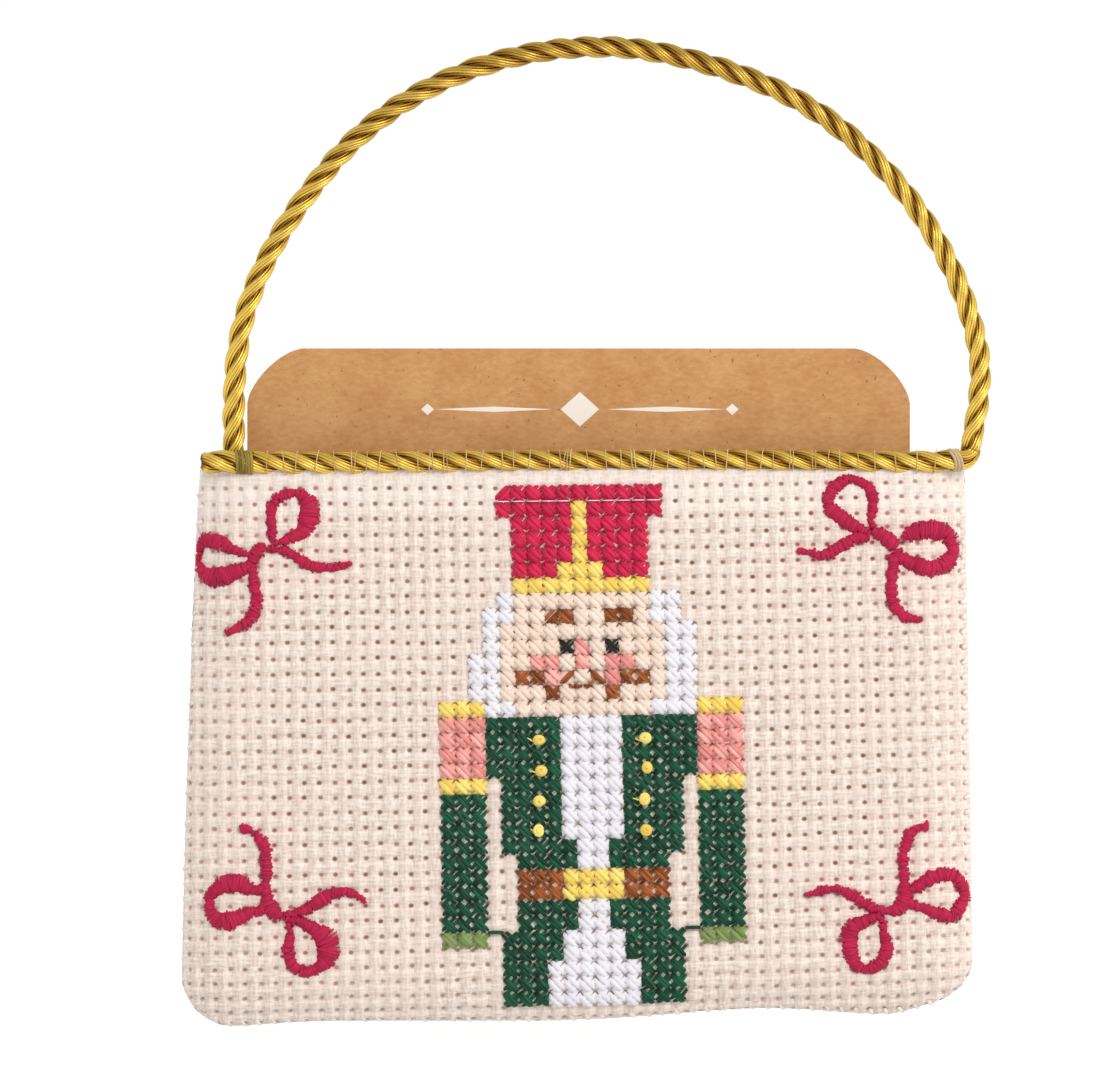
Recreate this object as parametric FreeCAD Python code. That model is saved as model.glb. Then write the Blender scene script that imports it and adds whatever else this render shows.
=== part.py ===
import FreeCAD, Part
import math
import os

# Gift card holder: a small sewn pouch of counted-thread cloth with an embroidered soldier doll and four
# ribbon bows, a twisted cord along the front of its mouth that runs on as a handle, and a standing card.
# Millimetres, +Z up, front towards -Y. The origin lies under the top of the handle, where it is hung.

# Pouch: two cloth panels, each with a lining, sewn together round the sides and the bottom.
POUCH_WIDTH = 118.0
POUCH_HEIGHT = 83.8
POUCH_THICKNESS = 8.6
PANEL_THICKNESS = 0.9
LINING_THICKNESS = 0.4
EDGE_RADIUS = 2.2
CROWN_RADIUS = 12.7
CORNER_FLAT = 0.5
SEAM_THREAD_DIAMETER = 0.5
SEAM_END_DROP = 2.0

# Twisted cord: one length that trims the mouth, turns up at the right corner and comes back down on the left.
CORD_DIAMETER = 3.0
CORD_BEND_RADIUS = 2.0
CORD_END_GAP = 0.3
TRIM_SETBACK = 0.3
TRIM_END_INSET = 3.2
TAIL_LENGTH = 14.0

# Middle line of the handle, from its left end behind the trim, over the top, to the right corner: across, in
# depth and up, in shares of half the pouch's width, half its thickness and the handle's drop from its top.
HANDLE_DROP = 59.45
HANDLE_SHARES = [
    (-0.8898, -0.1163, -1.0000),
    (-0.8915, -0.1163, -0.8368),
    (-0.8576, -0.1047, -0.6350),
    (-0.7373, -0.0814, -0.4163),
    (-0.5339, -0.0465, -0.1926),
    (-0.2627, -0.0116, -0.0345),
    (0.0593, 0.0000, 0.0109),
    (0.3390, 0.0000, -0.0345),
    (0.6186, -0.0465, -0.1455),
    (0.8305, -0.1628, -0.3373),
    (0.9695, -0.3488, -0.5492),
    (1.0441, -0.6047, -0.7696),
    (1.0339, -0.8140, -0.9193),
    (1.0153, -0.9302, -1.0000),
]
ARC_RUN_SHARE = 0.45

# Sewing thread over the trim, wrapped round both ends of it and round the tail of the handle.
THREAD_THICKNESS = 0.3
THREAD_CLEARANCE = 0.05
WHIP_STITCH_WIDTH = 0.35
WHIP_STITCH_SPACING = 2.75
BIND_WIDTH = 1.8
BIND_END_GAP = 0.4
TACK_WIDTH = 0.8
TACK_DROP = 5.0
TACK_SPACING = 4.0
WRAP_BACK_ANGLE = -45.0
WRAP_FRONT_ANGLE = 245.0

# Card that stands in the pouch.
CARD_THICKNESS = 0.5
CARD_CORNER_RADIUS = 7.6
CARD_STAND_OUT = 16.0
CARD_SIDE_CLEARANCE = 7.4
CARD_BACK_CLEARANCE = 0.35
CARD_BOTTOM_CLEARANCE = 0.3

# Embroidery: the pitch of the cloth's holes, the height of the floss and where the doll stands.
STITCH_PITCH = 2.309
FLOSS_HEIGHT = 0.6
DOLL_DROP = 1.9
DOLL_MIDDLE_X = 2.2
DOLL_COLUMNS = 20
KNOT_DIAMETER = 2.6
SMALL_FIELD_INSET = 0.05

# Fields of the doll, each as (first column, first row, columns, rows) in shares of the stitch pitch.
HAT_SHARES = [(4, 0, 11, 2), (5, 2, 9, 4)]
HAT_TRIM_SHARES = [(9, 1, 1, 4), (8, 5, 3, 1), (5, 6, 9, 1)]
HAIR_LEFT_SHARES = [(4, 7, 1, 2), (3, 8, 1, 7), (2, 11, 1, 3), (4, 14, 1, 1)]
HAIR_RIGHT_SHARES = [(14, 7, 1, 2), (15, 7, 1, 8), (16, 9, 1, 6), (14, 14, 1, 1)]
FACE_SHARES = [(5, 7, 9, 8), (4, 9, 1, 5), (14, 9, 1, 5)]
BROW_SHARES = [(7, 8, 2, 1), (11, 8, 2, 1)]
EYE_SHARES = [(8, 10, 1, 1), (11, 10, 1, 1)]
CHEEK_SHARES = [(6, 11, 2, 1), (7, 12, 1, 1), (9, 10, 1, 2), (11, 11, 2, 1), (11, 12, 1, 1)]
MOUSTACHE_LEFT_SHARES = [(5, 12, 2, 1), (7, 13, 1, 1), (8, 12, 1, 1)]
MOUSTACHE_RIGHT_SHARES = [(12, 12, 2, 1), (11, 13, 1, 1), (10, 12, 1, 1)]
EPAULETTE_SHARES = [(0, 14, 3, 1), (17, 14, 3, 1)]
SLEEVE_SHARES = [(0, 15, 3, 4), (17, 15, 3, 4)]
CUFF_SHARES = [(0, 19, 3, 1), (17, 19, 3, 1)]
ARM_SHARES = [(0, 20, 3, 9), (17, 20, 3, 9)]
GLOVE_SHARES = [(0, 29, 3, 1), (17, 29, 3, 1)]
COAT_LEFT_SHARES = [(3, 15, 5, 4), (4, 19, 4, 5), (5, 24, 3, 1), (8, 23, 1, 2)]
COAT_RIGHT_SHARES = [(12, 15, 5, 4), (12, 19, 4, 5), (12, 24, 3, 1), (11, 23, 1, 2)]
SHIRT_SHARES = [(8, 15, 4, 8), (9, 23, 2, 2)]
KNOT_SHARES = [(6, 16), (6, 18), (6, 20), (6, 22), (13, 16), (13, 18), (13, 20), (13, 22)]
BELT_SHARES = [(5, 25, 3, 2), (12, 25, 3, 2)]
BUCKLE_SHARES = [(8, 25, 4, 2)]
TAIL_LEFT_SHARES = [(5, 27, 4, 2), (4, 29, 4, 2), (4, 31, 3, 3)]
TAIL_RIGHT_SHARES = [(11, 27, 4, 2), (12, 29, 4, 2), (13, 31, 3, 3)]
BREECHES_SHARES = [(9, 27, 2, 2), (8, 29, 4, 2), (7, 31, 6, 3)]

# Ribbon bows: one design, turned over for each corner.
# Their knots lie in from the side, and from the mouth or the bottom.
BOW_REACH = 13.5
BOW_RIBBON_WIDTH = 1.5
BOW_SIDE_INSET = 11.0
BOW_TOP_DROP = 11.2
BOW_BOTTOM_RISE = 16.4
LOOP_SHARES = [(-0.46, -0.11, 0.37, 0.27, 195.0), (0.33, 0.36, 0.38, 0.28, 48.0)]
KNOT_SIZE_SHARES = (0.13, 0.11)
TAIL_SHARES = [((0.06, 0.02), (0.55, -0.22), (1.0, -0.17)), ((-0.04, -0.06), (-0.09, -0.58), (-0.41, -0.97))]

# Extra length of a cutting shape past what it cuts.
OVERRUN = 1.0

cord_radius = CORD_DIAMETER / 2
half_width = POUCH_WIDTH / 2
half_thickness = POUCH_THICKNESS / 2
crown_run = math.sqrt((CROWN_RADIUS - EDGE_RADIUS) ** 2 - (CROWN_RADIUS - half_thickness) ** 2)
crown_lean = math.atan2(CROWN_RADIUS - half_thickness, crown_run)
corner_radius = CORNER_FLAT + crown_run + EDGE_RADIUS
flat_half_width = half_width - EDGE_RADIUS - crown_run
corner_axis_x = flat_half_width - CORNER_FLAT

handle_route = [
    (across * half_width, depth * half_thickness, cord_radius + up * HANDLE_DROP)
    for across, depth, up in HANDLE_SHARES
]
handle_end_z = handle_route[0][2]
cord_end_z = handle_end_z - cord_radius - CORD_END_GAP
trim_z = cord_end_z - CORD_BEND_RADIUS
trim_y = TRIM_SETBACK - half_thickness
mouth_z = trim_z - cord_radius
bottom_z = mouth_z - POUCH_HEIGHT
corner_axis_z = bottom_z + corner_radius

doll_left_x = DOLL_MIDDLE_X - DOLL_COLUMNS * STITCH_PITCH / 2
doll_top_z = mouth_z - DOLL_DROP


def vector(x, y, z):
    return FreeCAD.Vector(x, y, z)


def line(start, end):
    return Part.LineSegment(start, end).toShape()


def arc(start, middle, end):
    return Part.Arc(start, middle, end).toShape()


def face_of(edges):
    return Part.Face(Part.Wire(Part.__sortEdges__(edges)))


def edge_points(inset):
    """Points of the edge profile, from the seam to the flat: outwards from the flat's end, and depth."""
    edge = EDGE_RADIUS - inset
    crown = CROWN_RADIUS - inset
    depth = half_thickness - inset
    crown_middle = (crown_lean + math.pi / 2) / 2
    return [
        (crown_run + edge, 0),
        (crown_run + edge * math.cos(crown_lean / 2), edge * math.sin(crown_lean / 2)),
        (crown_run + edge * math.cos(crown_lean), edge * math.sin(crown_lean)),
        (crown * math.cos(crown_middle), depth - crown + crown * math.sin(crown_middle)),
        (0, depth),
    ]


def edge_arcs(points):
    return [arc(points[0], points[1], points[2]), arc(points[2], points[3], points[4])]


def half_body(inset, top_z):
    """Front half of the pouch's form, set in all round by inset, from the bottom up to top_z."""
    profile = edge_points(inset)
    right = [vector(flat_half_width + out, -depth, corner_axis_z) for out, depth in profile]
    left = [vector(-p.x, p.y, p.z) for p in right]
    section = edge_arcs(right) + edge_arcs(left) + [line(right[4], left[4]), line(left[0], right[0])]
    upper = face_of(section).extrude(vector(0, 0, top_z - corner_axis_z))

    axis = vector(corner_axis_x, 0, corner_axis_z)
    axis_front = vector(corner_axis_x, right[4].y, corner_axis_z)
    inner_sides = [line(right[4], axis_front), line(axis_front, axis), line(axis, right[0])]
    rim = face_of(edge_arcs(right) + inner_sides)
    turn = vector(0, 1, 0)
    right_corner = rim.revolve(axis, turn, 90)
    left_corner = right_corner.mirror(vector(0, 0, 0), vector(1, 0, 0))
    rim.rotate(axis, turn, 90)
    lower = rim.extrude(vector(-2 * corner_axis_x, 0, 0))
    return upper.fuse([right_corner, left_corner, lower]).removeSplitter()


def to_back(shape):
    return shape.mirror(vector(0, 0, 0), vector(0, 1, 0))


def tube(edges, start, direction):
    """Round cord along a path of lines and arcs."""
    section = Part.Wire(Part.makeCircle(cord_radius, start, direction))
    return Part.Wire(edges).makePipeShell([section], True, False)


def round_end(centre, direction):
    return Part.makeSphere(cord_radius, centre, direction, 0, 90, 360)


def route_edges(route):
    """Straight runs joined by tangent arcs as large as the runs allow, with the arcs' radii."""
    points = [vector(*p) for p in route]
    edges, radii = [], []
    run_start = points[0]
    for before, corner, after in zip(points, points[1:], points[2:]):
        back = (before - corner).normalize()
        on = (after - corner).normalize()
        half_turn = (math.pi - back.getAngle(on)) / 2
        reach = ARC_RUN_SHARE * min((before - corner).Length, (after - corner).Length)
        radius = reach / math.tan(half_turn)
        inwards = (back + on).normalize()
        start = corner + back * reach
        end = corner + on * reach
        middle = corner + inwards * (radius / math.cos(half_turn) - radius)
        edges += [line(run_start, start), arc(start, middle, end)]
        radii.append(radius)
        run_start = end
    edges.append(line(run_start, points[-1]))
    return edges, radii


def seam_thread():
    """Thread of the seam, in the middle of the panels' rims, down one side and up the other."""
    inset = PANEL_THICKNESS / 2
    side_x = half_width - inset
    low_z = bottom_z + inset
    start_z = mouth_z - SEAM_END_DROP
    bend = corner_radius - inset
    slant_x = corner_axis_x + bend * math.cos(math.pi / 4)
    slant_z = corner_axis_z - bend * math.sin(math.pi / 4)
    right = [
        vector(side_x, 0, start_z),
        vector(side_x, 0, corner_axis_z),
        vector(slant_x, 0, slant_z),
        vector(corner_axis_x, 0, low_z),
    ]
    left = [vector(-p.x, p.y, p.z) for p in right]
    path = [
        line(left[0], left[1]),
        arc(left[1], left[2], left[3]),
        line(left[3], right[3]),
        arc(right[3], right[2], right[1]),
        line(right[1], right[0]),
    ]
    section = Part.makeCircle(SEAM_THREAD_DIAMETER / 2, left[0], vector(0, 0, -1))
    return Part.Wire(path).makePipeShell([Part.Wire(section)], True, False)


def trim_cord():
    """Cord along the front of the mouth, with a round left end and a tight turn up at the right corner."""
    right_x = handle_route[-1][0]
    start = vector(TRIM_END_INSET - half_width, trim_y, trim_z)
    turn_start = vector(right_x - CORD_BEND_RADIUS, trim_y, trim_z)
    turn_end = vector(right_x, trim_y, cord_end_z)
    slant = CORD_BEND_RADIUS * math.cos(math.pi / 4)
    turn_middle = vector(turn_start.x + slant, trim_y, cord_end_z - slant)
    path = [line(start, turn_start), arc(turn_start, turn_middle, turn_end)]
    along = vector(1, 0, 0)
    return tube(path, start, along).fuse(round_end(start, along * -1)).removeSplitter()


def handle_tail():
    """End of the cord that goes down inside the pouch, behind the trim."""
    x, y = handle_route[0][:2]
    low = vector(x, y, cord_end_z - TAIL_LENGTH)
    up = vector(0, 0, 1)
    straight = Part.makeCylinder(cord_radius, TAIL_LENGTH, low, up)
    return straight.fuse(round_end(low, up * -1)).removeSplitter()


def handle_cord():
    """Handle: the free arch of cord, with both ends rounded where it turns on the pouch."""
    edges, radii = route_edges(handle_route)
    start, second = vector(*handle_route[0]), vector(*handle_route[1])
    last, end = vector(*handle_route[-2]), vector(*handle_route[-1])
    arch = tube(edges, start, second - start)
    length = sum(e.Length for e in edges)
    print("handle radii", [round(r, 1) for r in radii])
    print("handle length", round(length, 2), "volume against section times length",
          round(arch.Volume / (math.pi * cord_radius ** 2 * length), 5))
    return arch.fuse([round_end(start, start - second), round_end(end, end - last)]).removeSplitter()


def wrap(x, width):
    """Turn of thread over the trim, open below where the panel's edge is."""
    def at(radius, angle):
        turn = math.radians(angle)
        return vector(x, trim_y + radius * math.cos(turn), trim_z + radius * math.sin(turn))

    inner = cord_radius + THREAD_CLEARANCE
    outer = inner + THREAD_THICKNESS
    middle_angle = (WRAP_BACK_ANGLE + WRAP_FRONT_ANGLE) / 2
    ends = [(radius, angle) for radius in (inner, outer) for angle in (WRAP_BACK_ANGLE, WRAP_FRONT_ANGLE)]
    inner_back, inner_front, outer_back, outer_front = [at(*end) for end in ends]
    band = face_of([
        arc(inner_back, at(inner, middle_angle), inner_front),
        arc(outer_back, at(outer, middle_angle), outer_front),
        line(inner_back, outer_back),
        line(inner_front, outer_front),
    ])
    return band.extrude(vector(width, 0, 0))


def bind_places():
    """Starts of the two binds: beside the tail of the handle, and before the turn of the cord."""
    left = handle_route[0][0] + cord_radius
    right = handle_route[-1][0] - CORD_BEND_RADIUS - BIND_END_GAP - BIND_WIDTH
    return left, right


def whip_stitches():
    """Thread that sews the trim to the front panel's edge, between the two binds."""
    left, right = bind_places()
    first = left + BIND_WIDTH + WHIP_STITCH_SPACING
    count = int((right - first) / WHIP_STITCH_SPACING)
    return Part.Compound([wrap(first + k * WHIP_STITCH_SPACING, WHIP_STITCH_WIDTH) for k in range(count)])


def tail_tack():
    """Two turns of thread that hold the tail of the handle to the front lining."""
    x, y = handle_route[0][:2]
    inner = cord_radius + THREAD_CLEARANCE
    up = vector(0, 0, 1)
    turns = []
    for k in range(2):
        low = vector(x, y, cord_end_z - TACK_DROP - k * TACK_SPACING)
        outside = Part.makeCylinder(inner + THREAD_THICKNESS, TACK_WIDTH, low, up)
        turns.append(outside.cut(Part.makeCylinder(inner, TACK_WIDTH, low, up)))
    return Part.Compound(turns)


def insert_card():
    """Card with rounded corners, just in front of the back lining, on the narrowing bottom of the pocket."""
    inner_inset = PANEL_THICKNESS + LINING_THICKNESS
    back_y = half_thickness - inner_inset - CARD_BACK_CLEARANCE
    inner_crown = CROWN_RADIUS - inner_inset
    narrowing = math.sqrt(2 * inner_crown * CARD_BACK_CLEARANCE - CARD_BACK_CLEARANCE ** 2)
    low = corner_axis_z - CORNER_FLAT - narrowing + CARD_BOTTOM_CLEARANCE
    high = trim_z + cord_radius + CARD_STAND_OUT
    side_x = half_width - inner_inset - CARD_SIDE_CLEARANCE
    corner = vector(-side_x, back_y - CARD_THICKNESS, low)
    plate = Part.makeBox(2 * side_x, CARD_THICKNESS, high - low, corner)
    corners = [e for e in plate.Edges if abs(e.Length - CARD_THICKNESS) < THREAD_CLEARANCE]
    return plate.makeFillet(CARD_CORNER_RADIUS, corners)


def block(column, row, columns, rows, inset=0):
    """Prism over a block of stitches, set in at its sides, deep enough to pass through the floss."""
    width, height = columns * STITCH_PITCH, rows * STITCH_PITCH
    depth = half_thickness + FLOSS_HEIGHT + OVERRUN
    left = doll_left_x + column * STITCH_PITCH
    low = doll_top_z - row * STITCH_PITCH - height
    corner = vector(left + inset, -depth, low + inset)
    return Part.makeBox(width - 2 * inset, depth, height - 2 * inset, corner)


def together(shapes):
    return shapes[0].fuse(shapes[1:]).removeSplitter() if len(shapes) > 1 else shapes[0]


def field(shares, skin, gaps=()):
    """One colour of floss: its blocks within the layer on the cloth, less small fields in it."""
    blocks = together([block(*share) for share in shares])
    if gaps:
        blocks = blocks.cut([block(*share, SMALL_FIELD_INSET) for share in gaps])
    return blocks.common(skin)


def small_field(shares, skin):
    """Features of the face, each block by itself, set in so that blocks that meet at a corner stay apart."""
    return Part.Compound([block(*share, SMALL_FIELD_INSET) for share in shares]).common(skin)


def button_knots():
    """Knotted buttons, domes on the cloth at the middle of their stitches."""
    knots = []
    for column, row in KNOT_SHARES:
        x = doll_left_x + (column + 1 / 2) * STITCH_PITCH
        z = doll_top_z - (row + 1 / 2) * STITCH_PITCH
        base = vector(x, -half_thickness, z)
        knots.append(Part.makeSphere(KNOT_DIAMETER / 2, base, vector(0, -1, 0), 0, 90, 360))
    return knots


def bow(side, rise, skin):
    """Satin-stitched ribbon bow: two loops, a knot and two tapering tails, turned over by side and rise."""
    knot_x = side * (half_width - BOW_SIDE_INSET)
    knot_z = mouth_z - BOW_TOP_DROP if rise > 0 else bottom_z + BOW_BOTTOM_RISE
    front_y = -half_thickness - FLOSS_HEIGHT - OVERRUN

    def at(across, up):
        return vector(knot_x - side * across, front_y, knot_z + rise * up)

    def oval(across, up, long, short, lean):
        ring = Part.Face(Part.Wire(Part.Ellipse(vector(0, 0, 0), long, short).toShape()))
        ring.rotate(vector(0, 0, 0), vector(0, 0, 1), lean)
        ring.rotate(vector(0, 0, 0), vector(1, 0, 0), 90)
        if side > 0:
            ring = ring.mirror(vector(0, 0, 0), vector(1, 0, 0))
        if rise < 0:
            ring = ring.mirror(vector(0, 0, 0), vector(0, 0, 1))
        ring.translate(at(across, up))
        return ring

    faces = [oval(0, 0, KNOT_SIZE_SHARES[0] * BOW_REACH, KNOT_SIZE_SHARES[1] * BOW_REACH, 0)]
    for across, up, long, short, lean in LOOP_SHARES:
        place = (across * BOW_REACH, up * BOW_REACH)
        outer = oval(*place, long * BOW_REACH, short * BOW_REACH, lean)
        hole = oval(*place, long * BOW_REACH - BOW_RIBBON_WIDTH, short * BOW_REACH - BOW_RIBBON_WIDTH, lean)
        faces.append(outer.cut(hole))
    for tail in TAIL_SHARES:
        root, middle, tip = [at(across * BOW_REACH, up * BOW_REACH) for across, up in tail]
        across = (tip - root).cross(vector(0, 1, 0)).normalize() * (BOW_RIBBON_WIDTH / 2)
        upper = arc(root + across, middle + across, tip)
        lower = arc(root - across, middle - across, tip)
        faces.append(face_of([upper, lower, line(root - across, root + across)]))
    depth = vector(0, -front_y, 0)
    return together([face.extrude(depth) for face in faces]).common(skin)


def build():
    """All the sub-parts, by name."""
    outer = half_body(0, mouth_z)
    middle = half_body(PANEL_THICKNESS, mouth_z)
    middle_open = half_body(PANEL_THICKNESS, mouth_z + OVERRUN)
    inner_open = half_body(PANEL_THICKNESS + LINING_THICKNESS, mouth_z + OVERRUN)
    skin = half_body(-FLOSS_HEIGHT, mouth_z).cut(outer)
    seam = seam_thread()
    front_panel = outer.cut(middle_open)
    front_lining = middle.cut(inner_open)
    left_bind, right_bind = bind_places()
    knots = button_knots()
    hat_trim = field(HAT_TRIM_SHARES, skin)
    moustache = MOUSTACHE_LEFT_SHARES + MOUSTACHE_RIGHT_SHARES
    features = BROW_SHARES + EYE_SHARES + CHEEK_SHARES + moustache
    return {
        "front_panel": front_panel.cut(seam),
        "back_panel": to_back(front_panel).cut(seam),
        "front_lining": front_lining,
        "back_lining": to_back(front_lining),
        "seam_thread": seam,
        "trim_cord": trim_cord(),
        "trim_whip_stitches": whip_stitches(),
        "trim_left_bind": wrap(left_bind, BIND_WIDTH),
        "trim_right_bind": wrap(right_bind, BIND_WIDTH),
        "handle_tail": handle_tail(),
        "tail_tack": tail_tack(),
        "handle_cord": handle_cord(),
        "insert_card": insert_card(),
        "hat_crimson": field(HAT_SHARES, skin).cut(hat_trim),
        "hat_gold_trim": hat_trim,
        "hair_white": field(HAIR_LEFT_SHARES + HAIR_RIGHT_SHARES, skin),
        "face_skin": field(FACE_SHARES, skin, features),
        "brows_brown": small_field(BROW_SHARES, skin),
        "eyes_black": small_field(EYE_SHARES, skin),
        "cheeks_pink": small_field(CHEEK_SHARES, skin),
        "moustache_brown": small_field(moustache, skin),
        "epaulettes_gold": field(EPAULETTE_SHARES, skin),
        "sleeves_pink": field(SLEEVE_SHARES, skin),
        "cuffs_gold": field(CUFF_SHARES, skin),
        "arms_green": field(ARM_SHARES, skin),
        "gloves_olive": field(GLOVE_SHARES, skin),
        "coat_green": field(COAT_LEFT_SHARES + COAT_RIGHT_SHARES, skin).cut(knots),
        "shirt_white": field(SHIRT_SHARES, skin),
        "button_knots": Part.Compound(knots),
        "belt_brown": field(BELT_SHARES, skin),
        "buckle_gold": field(BUCKLE_SHARES, skin),
        "coat_tails_green": field(TAIL_LEFT_SHARES + TAIL_RIGHT_SHARES, skin),
        "breeches_white": field(BREECHES_SHARES, skin),
        "bow_top_left": bow(-1, 1, skin),
        "bow_top_right": bow(1, 1, skin),
        "bow_bottom_left": bow(-1, -1, skin),
        "bow_bottom_right": bow(1, -1, skin),
    }


os.makedirs("parts", exist_ok=True)
for name, shape in build().items():
    print(name, "solids", len(shape.Solids), "volume", round(shape.Volume, 2), "valid", shape.isValid())
    shape.exportStep("parts/" + name + ".step")
print("mouth", round(mouth_z, 3), "bottom", round(bottom_z, 3), "trim", round(trim_y, 3), round(trim_z, 3))
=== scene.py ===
# %% [markdown]
# # Gift card holder
# A small flat pouch of counted-thread cloth, with a soldier doll in cross stitch, four ribbon bows in
# satin stitch, a twisted gold cord round its mouth and over its top, and a kraft card that stands in it.
# The CAD model fixes every size and joint. This lesson lays real threads, cords and cloth over its plain
# solids, piece by piece, and hides each solid behind the piece that stands for it.

# %% Load the frame
import math

import bpy
import numpy as np
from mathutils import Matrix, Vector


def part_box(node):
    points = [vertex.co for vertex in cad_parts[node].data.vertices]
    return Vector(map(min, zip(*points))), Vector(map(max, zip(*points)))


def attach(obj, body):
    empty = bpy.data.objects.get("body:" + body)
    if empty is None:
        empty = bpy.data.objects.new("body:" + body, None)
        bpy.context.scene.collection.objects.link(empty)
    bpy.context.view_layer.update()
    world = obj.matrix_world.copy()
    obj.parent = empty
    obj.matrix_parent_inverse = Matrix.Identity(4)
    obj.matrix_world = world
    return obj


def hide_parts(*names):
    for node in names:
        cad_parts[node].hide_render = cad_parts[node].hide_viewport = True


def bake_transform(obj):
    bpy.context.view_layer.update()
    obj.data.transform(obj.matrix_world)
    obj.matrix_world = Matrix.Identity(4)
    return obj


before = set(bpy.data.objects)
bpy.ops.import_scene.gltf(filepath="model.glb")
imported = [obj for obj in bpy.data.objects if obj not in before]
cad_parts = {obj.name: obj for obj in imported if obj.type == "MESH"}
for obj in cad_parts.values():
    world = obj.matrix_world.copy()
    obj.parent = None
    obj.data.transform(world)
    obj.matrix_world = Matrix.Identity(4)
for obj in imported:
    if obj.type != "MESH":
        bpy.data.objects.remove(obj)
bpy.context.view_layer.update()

MM = 0.001
dice = np.random.default_rng(7)

# %% [markdown]
# ## Camera, light and floor
# The photograph looks straight at the front through a long lens, so a 300 mm lens stands 1.4 m away:
# there the frame is 168 mm wide. A lamp from the upper right shapes the threads. The sky behind the
# object is white and the sky behind the camera is dimmer, as in a studio with a bright backdrop. An even
# sky all round would also be white, but it would flatten the stitches. The floor is a large pale sheet
# just under the pouch.

# %% Camera
FRAME_WIDTH = 167.6
FRAME_MIDDLE = (-4.6, -74.3)
FRONT_Y = -4.3
LENS, SENSOR = 300.0, 36.0

scene = bpy.context.scene
bpy.ops.object.select_all(action="DESELECT")
distance = FRAME_WIDTH * LENS / SENSOR
place = [FRAME_MIDDLE[0] * MM, (FRONT_Y - distance) * MM, FRAME_MIDDLE[1] * MM]
bpy.ops.object.camera_add(location=place, rotation=(math.radians(90), 0, 0))
camera = bpy.context.object
camera.data.lens = LENS
camera.data.sensor_width = SENSOR
camera.data.clip_start = 0.01
scene.camera = camera
scene.view_settings.view_transform = "Standard"
print("camera", round(distance), "mm in front of the cloth")

# %% Colours, nodes and materials
def linear(hex_colour):
    """Linear colour of an sRGB hex value."""
    values = [int(hex_colour[i:i + 2], 16) / 255 for i in (1, 3, 5)]
    return [v / 12.92 if v <= 0.04045 else ((v + 0.055) / 1.055) ** 2.4 for v in values] + [1]


def add(tree, kind, sockets=(), operation=None, **settings):
    """Adds a node. Its sockets, by place or name, get values, or links from nodes or from their outputs."""
    node = tree.nodes.new("ShaderNode" + kind)
    if operation:
        node.operation = operation
    for name, setting in settings.items():
        setattr(node, name, setting)
    for socket, source in sockets.items() if isinstance(sockets, dict) else enumerate(sockets):
        if isinstance(source, bpy.types.Node):
            source = source.outputs[0]
        if isinstance(source, bpy.types.NodeSocket):
            tree.links.new(source, node.inputs[socket])
        else:
            node.inputs[socket].default_value = source
    return node


def new_material(name, **values):
    """A material of that name, with its tree of nodes and its shader, whose even values are set here."""
    material = bpy.data.materials.new(name)
    material.use_nodes = True
    tree = material.node_tree
    shader = tree.nodes["Principled BSDF"]
    for socket, value in values.items():
        shader.inputs[socket.replace("_", " ")].default_value = value
    return material, tree, shader


def dress(tree, shader, colour, height, strength, distance):
    """Links a colour into a shader, and a bump of that height, strength and distance in mm."""
    bump = add(tree, "Bump", {"Height": height, "Strength": strength, "Distance": distance * MM})
    tree.links.new(colour.outputs[0], shader.inputs["Base Color"])
    tree.links.new(bump.outputs[0], shader.inputs["Normal"])


print("middle grey in linear light:", round(linear("#808080")[0], 3))

# %% Sky
# Brightness of the sky behind the object, of the sky in front of it, and what the top, the bottom, the right
# and both sides add to the sky in front.
SKY_BEHIND, SKY_FRONT, SKY_TOP, SKY_LOW, SKY_RIGHT, SKY_SIDES = 1.02, 0.50, 0.30, 0.28, 0.06, 0.74
# Where the top, the bottom and the back of the sky begin, and where they are full.
TOP_EDGE, LOW_EDGE, BACK_EDGE = (0.25, 0.8), (-0.1, -0.7), (-0.3, 0.3)

world = bpy.data.worlds.new("studio_sky")
scene.world = world
world.use_nodes = True
sky = world.node_tree
over, deep, up = add(sky, "SeparateXYZ", [add(sky, "TexCoord").outputs["Generated"]]).outputs
# A MapRange takes a value, the two ends of the range that it comes from and the two that it goes to.
top = add(sky, "MapRange", [up, *TOP_EDGE, SKY_FRONT, SKY_FRONT + SKY_TOP], interpolation_type="SMOOTHSTEP")
right = add(sky, "Math", [over, SKY_RIGHT, top], "MULTIPLY_ADD")
aside = add(sky, "Math", [over, over], "MULTIPLY")
sides = add(sky, "Math", [aside, SKY_SIDES, right], "MULTIPLY_ADD")
low = add(sky, "MapRange", [up, *LOW_EDGE, 0.0, SKY_LOW], interpolation_type="SMOOTHSTEP")
in_front = add(sky, "Math", [sides, low], "ADD")
strength = add(sky, "MapRange", [deep, *BACK_EDGE, in_front, SKY_BEHIND], interpolation_type="SMOOTHSTEP")
background = sky.nodes["Background"]
background.inputs["Color"].default_value = linear("#FFFFFF")
sky.links.new(strength.outputs[0], background.inputs["Strength"])
print("sky", SKY_BEHIND, "bright behind the object and", SKY_FRONT, "in front")

# %% Lamp
LAMP_PLACE, LAMP_AIM, LAMP_SIZE, LAMP_POWER = (0.38, -0.68, 0.32), (0, 0, -0.08), 0.30, 3.4
bpy.ops.object.light_add(type="AREA", location=LAMP_PLACE)
lamp = bpy.context.object
lamp.name = "key_lamp"
lamp.data.size, lamp.data.energy, lamp.data.color = LAMP_SIZE, LAMP_POWER, linear("#FFF9F3")[:3]
toward = np.array(LAMP_AIM) - np.array(LAMP_PLACE)
lamp.rotation_euler = (math.atan2(math.hypot(toward[0], toward[1]), -toward[2]), 0,
                       math.atan2(-toward[0], toward[1]))
print("lamp", round(float(np.linalg.norm(toward)), 2), "m from the pouch")

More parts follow.
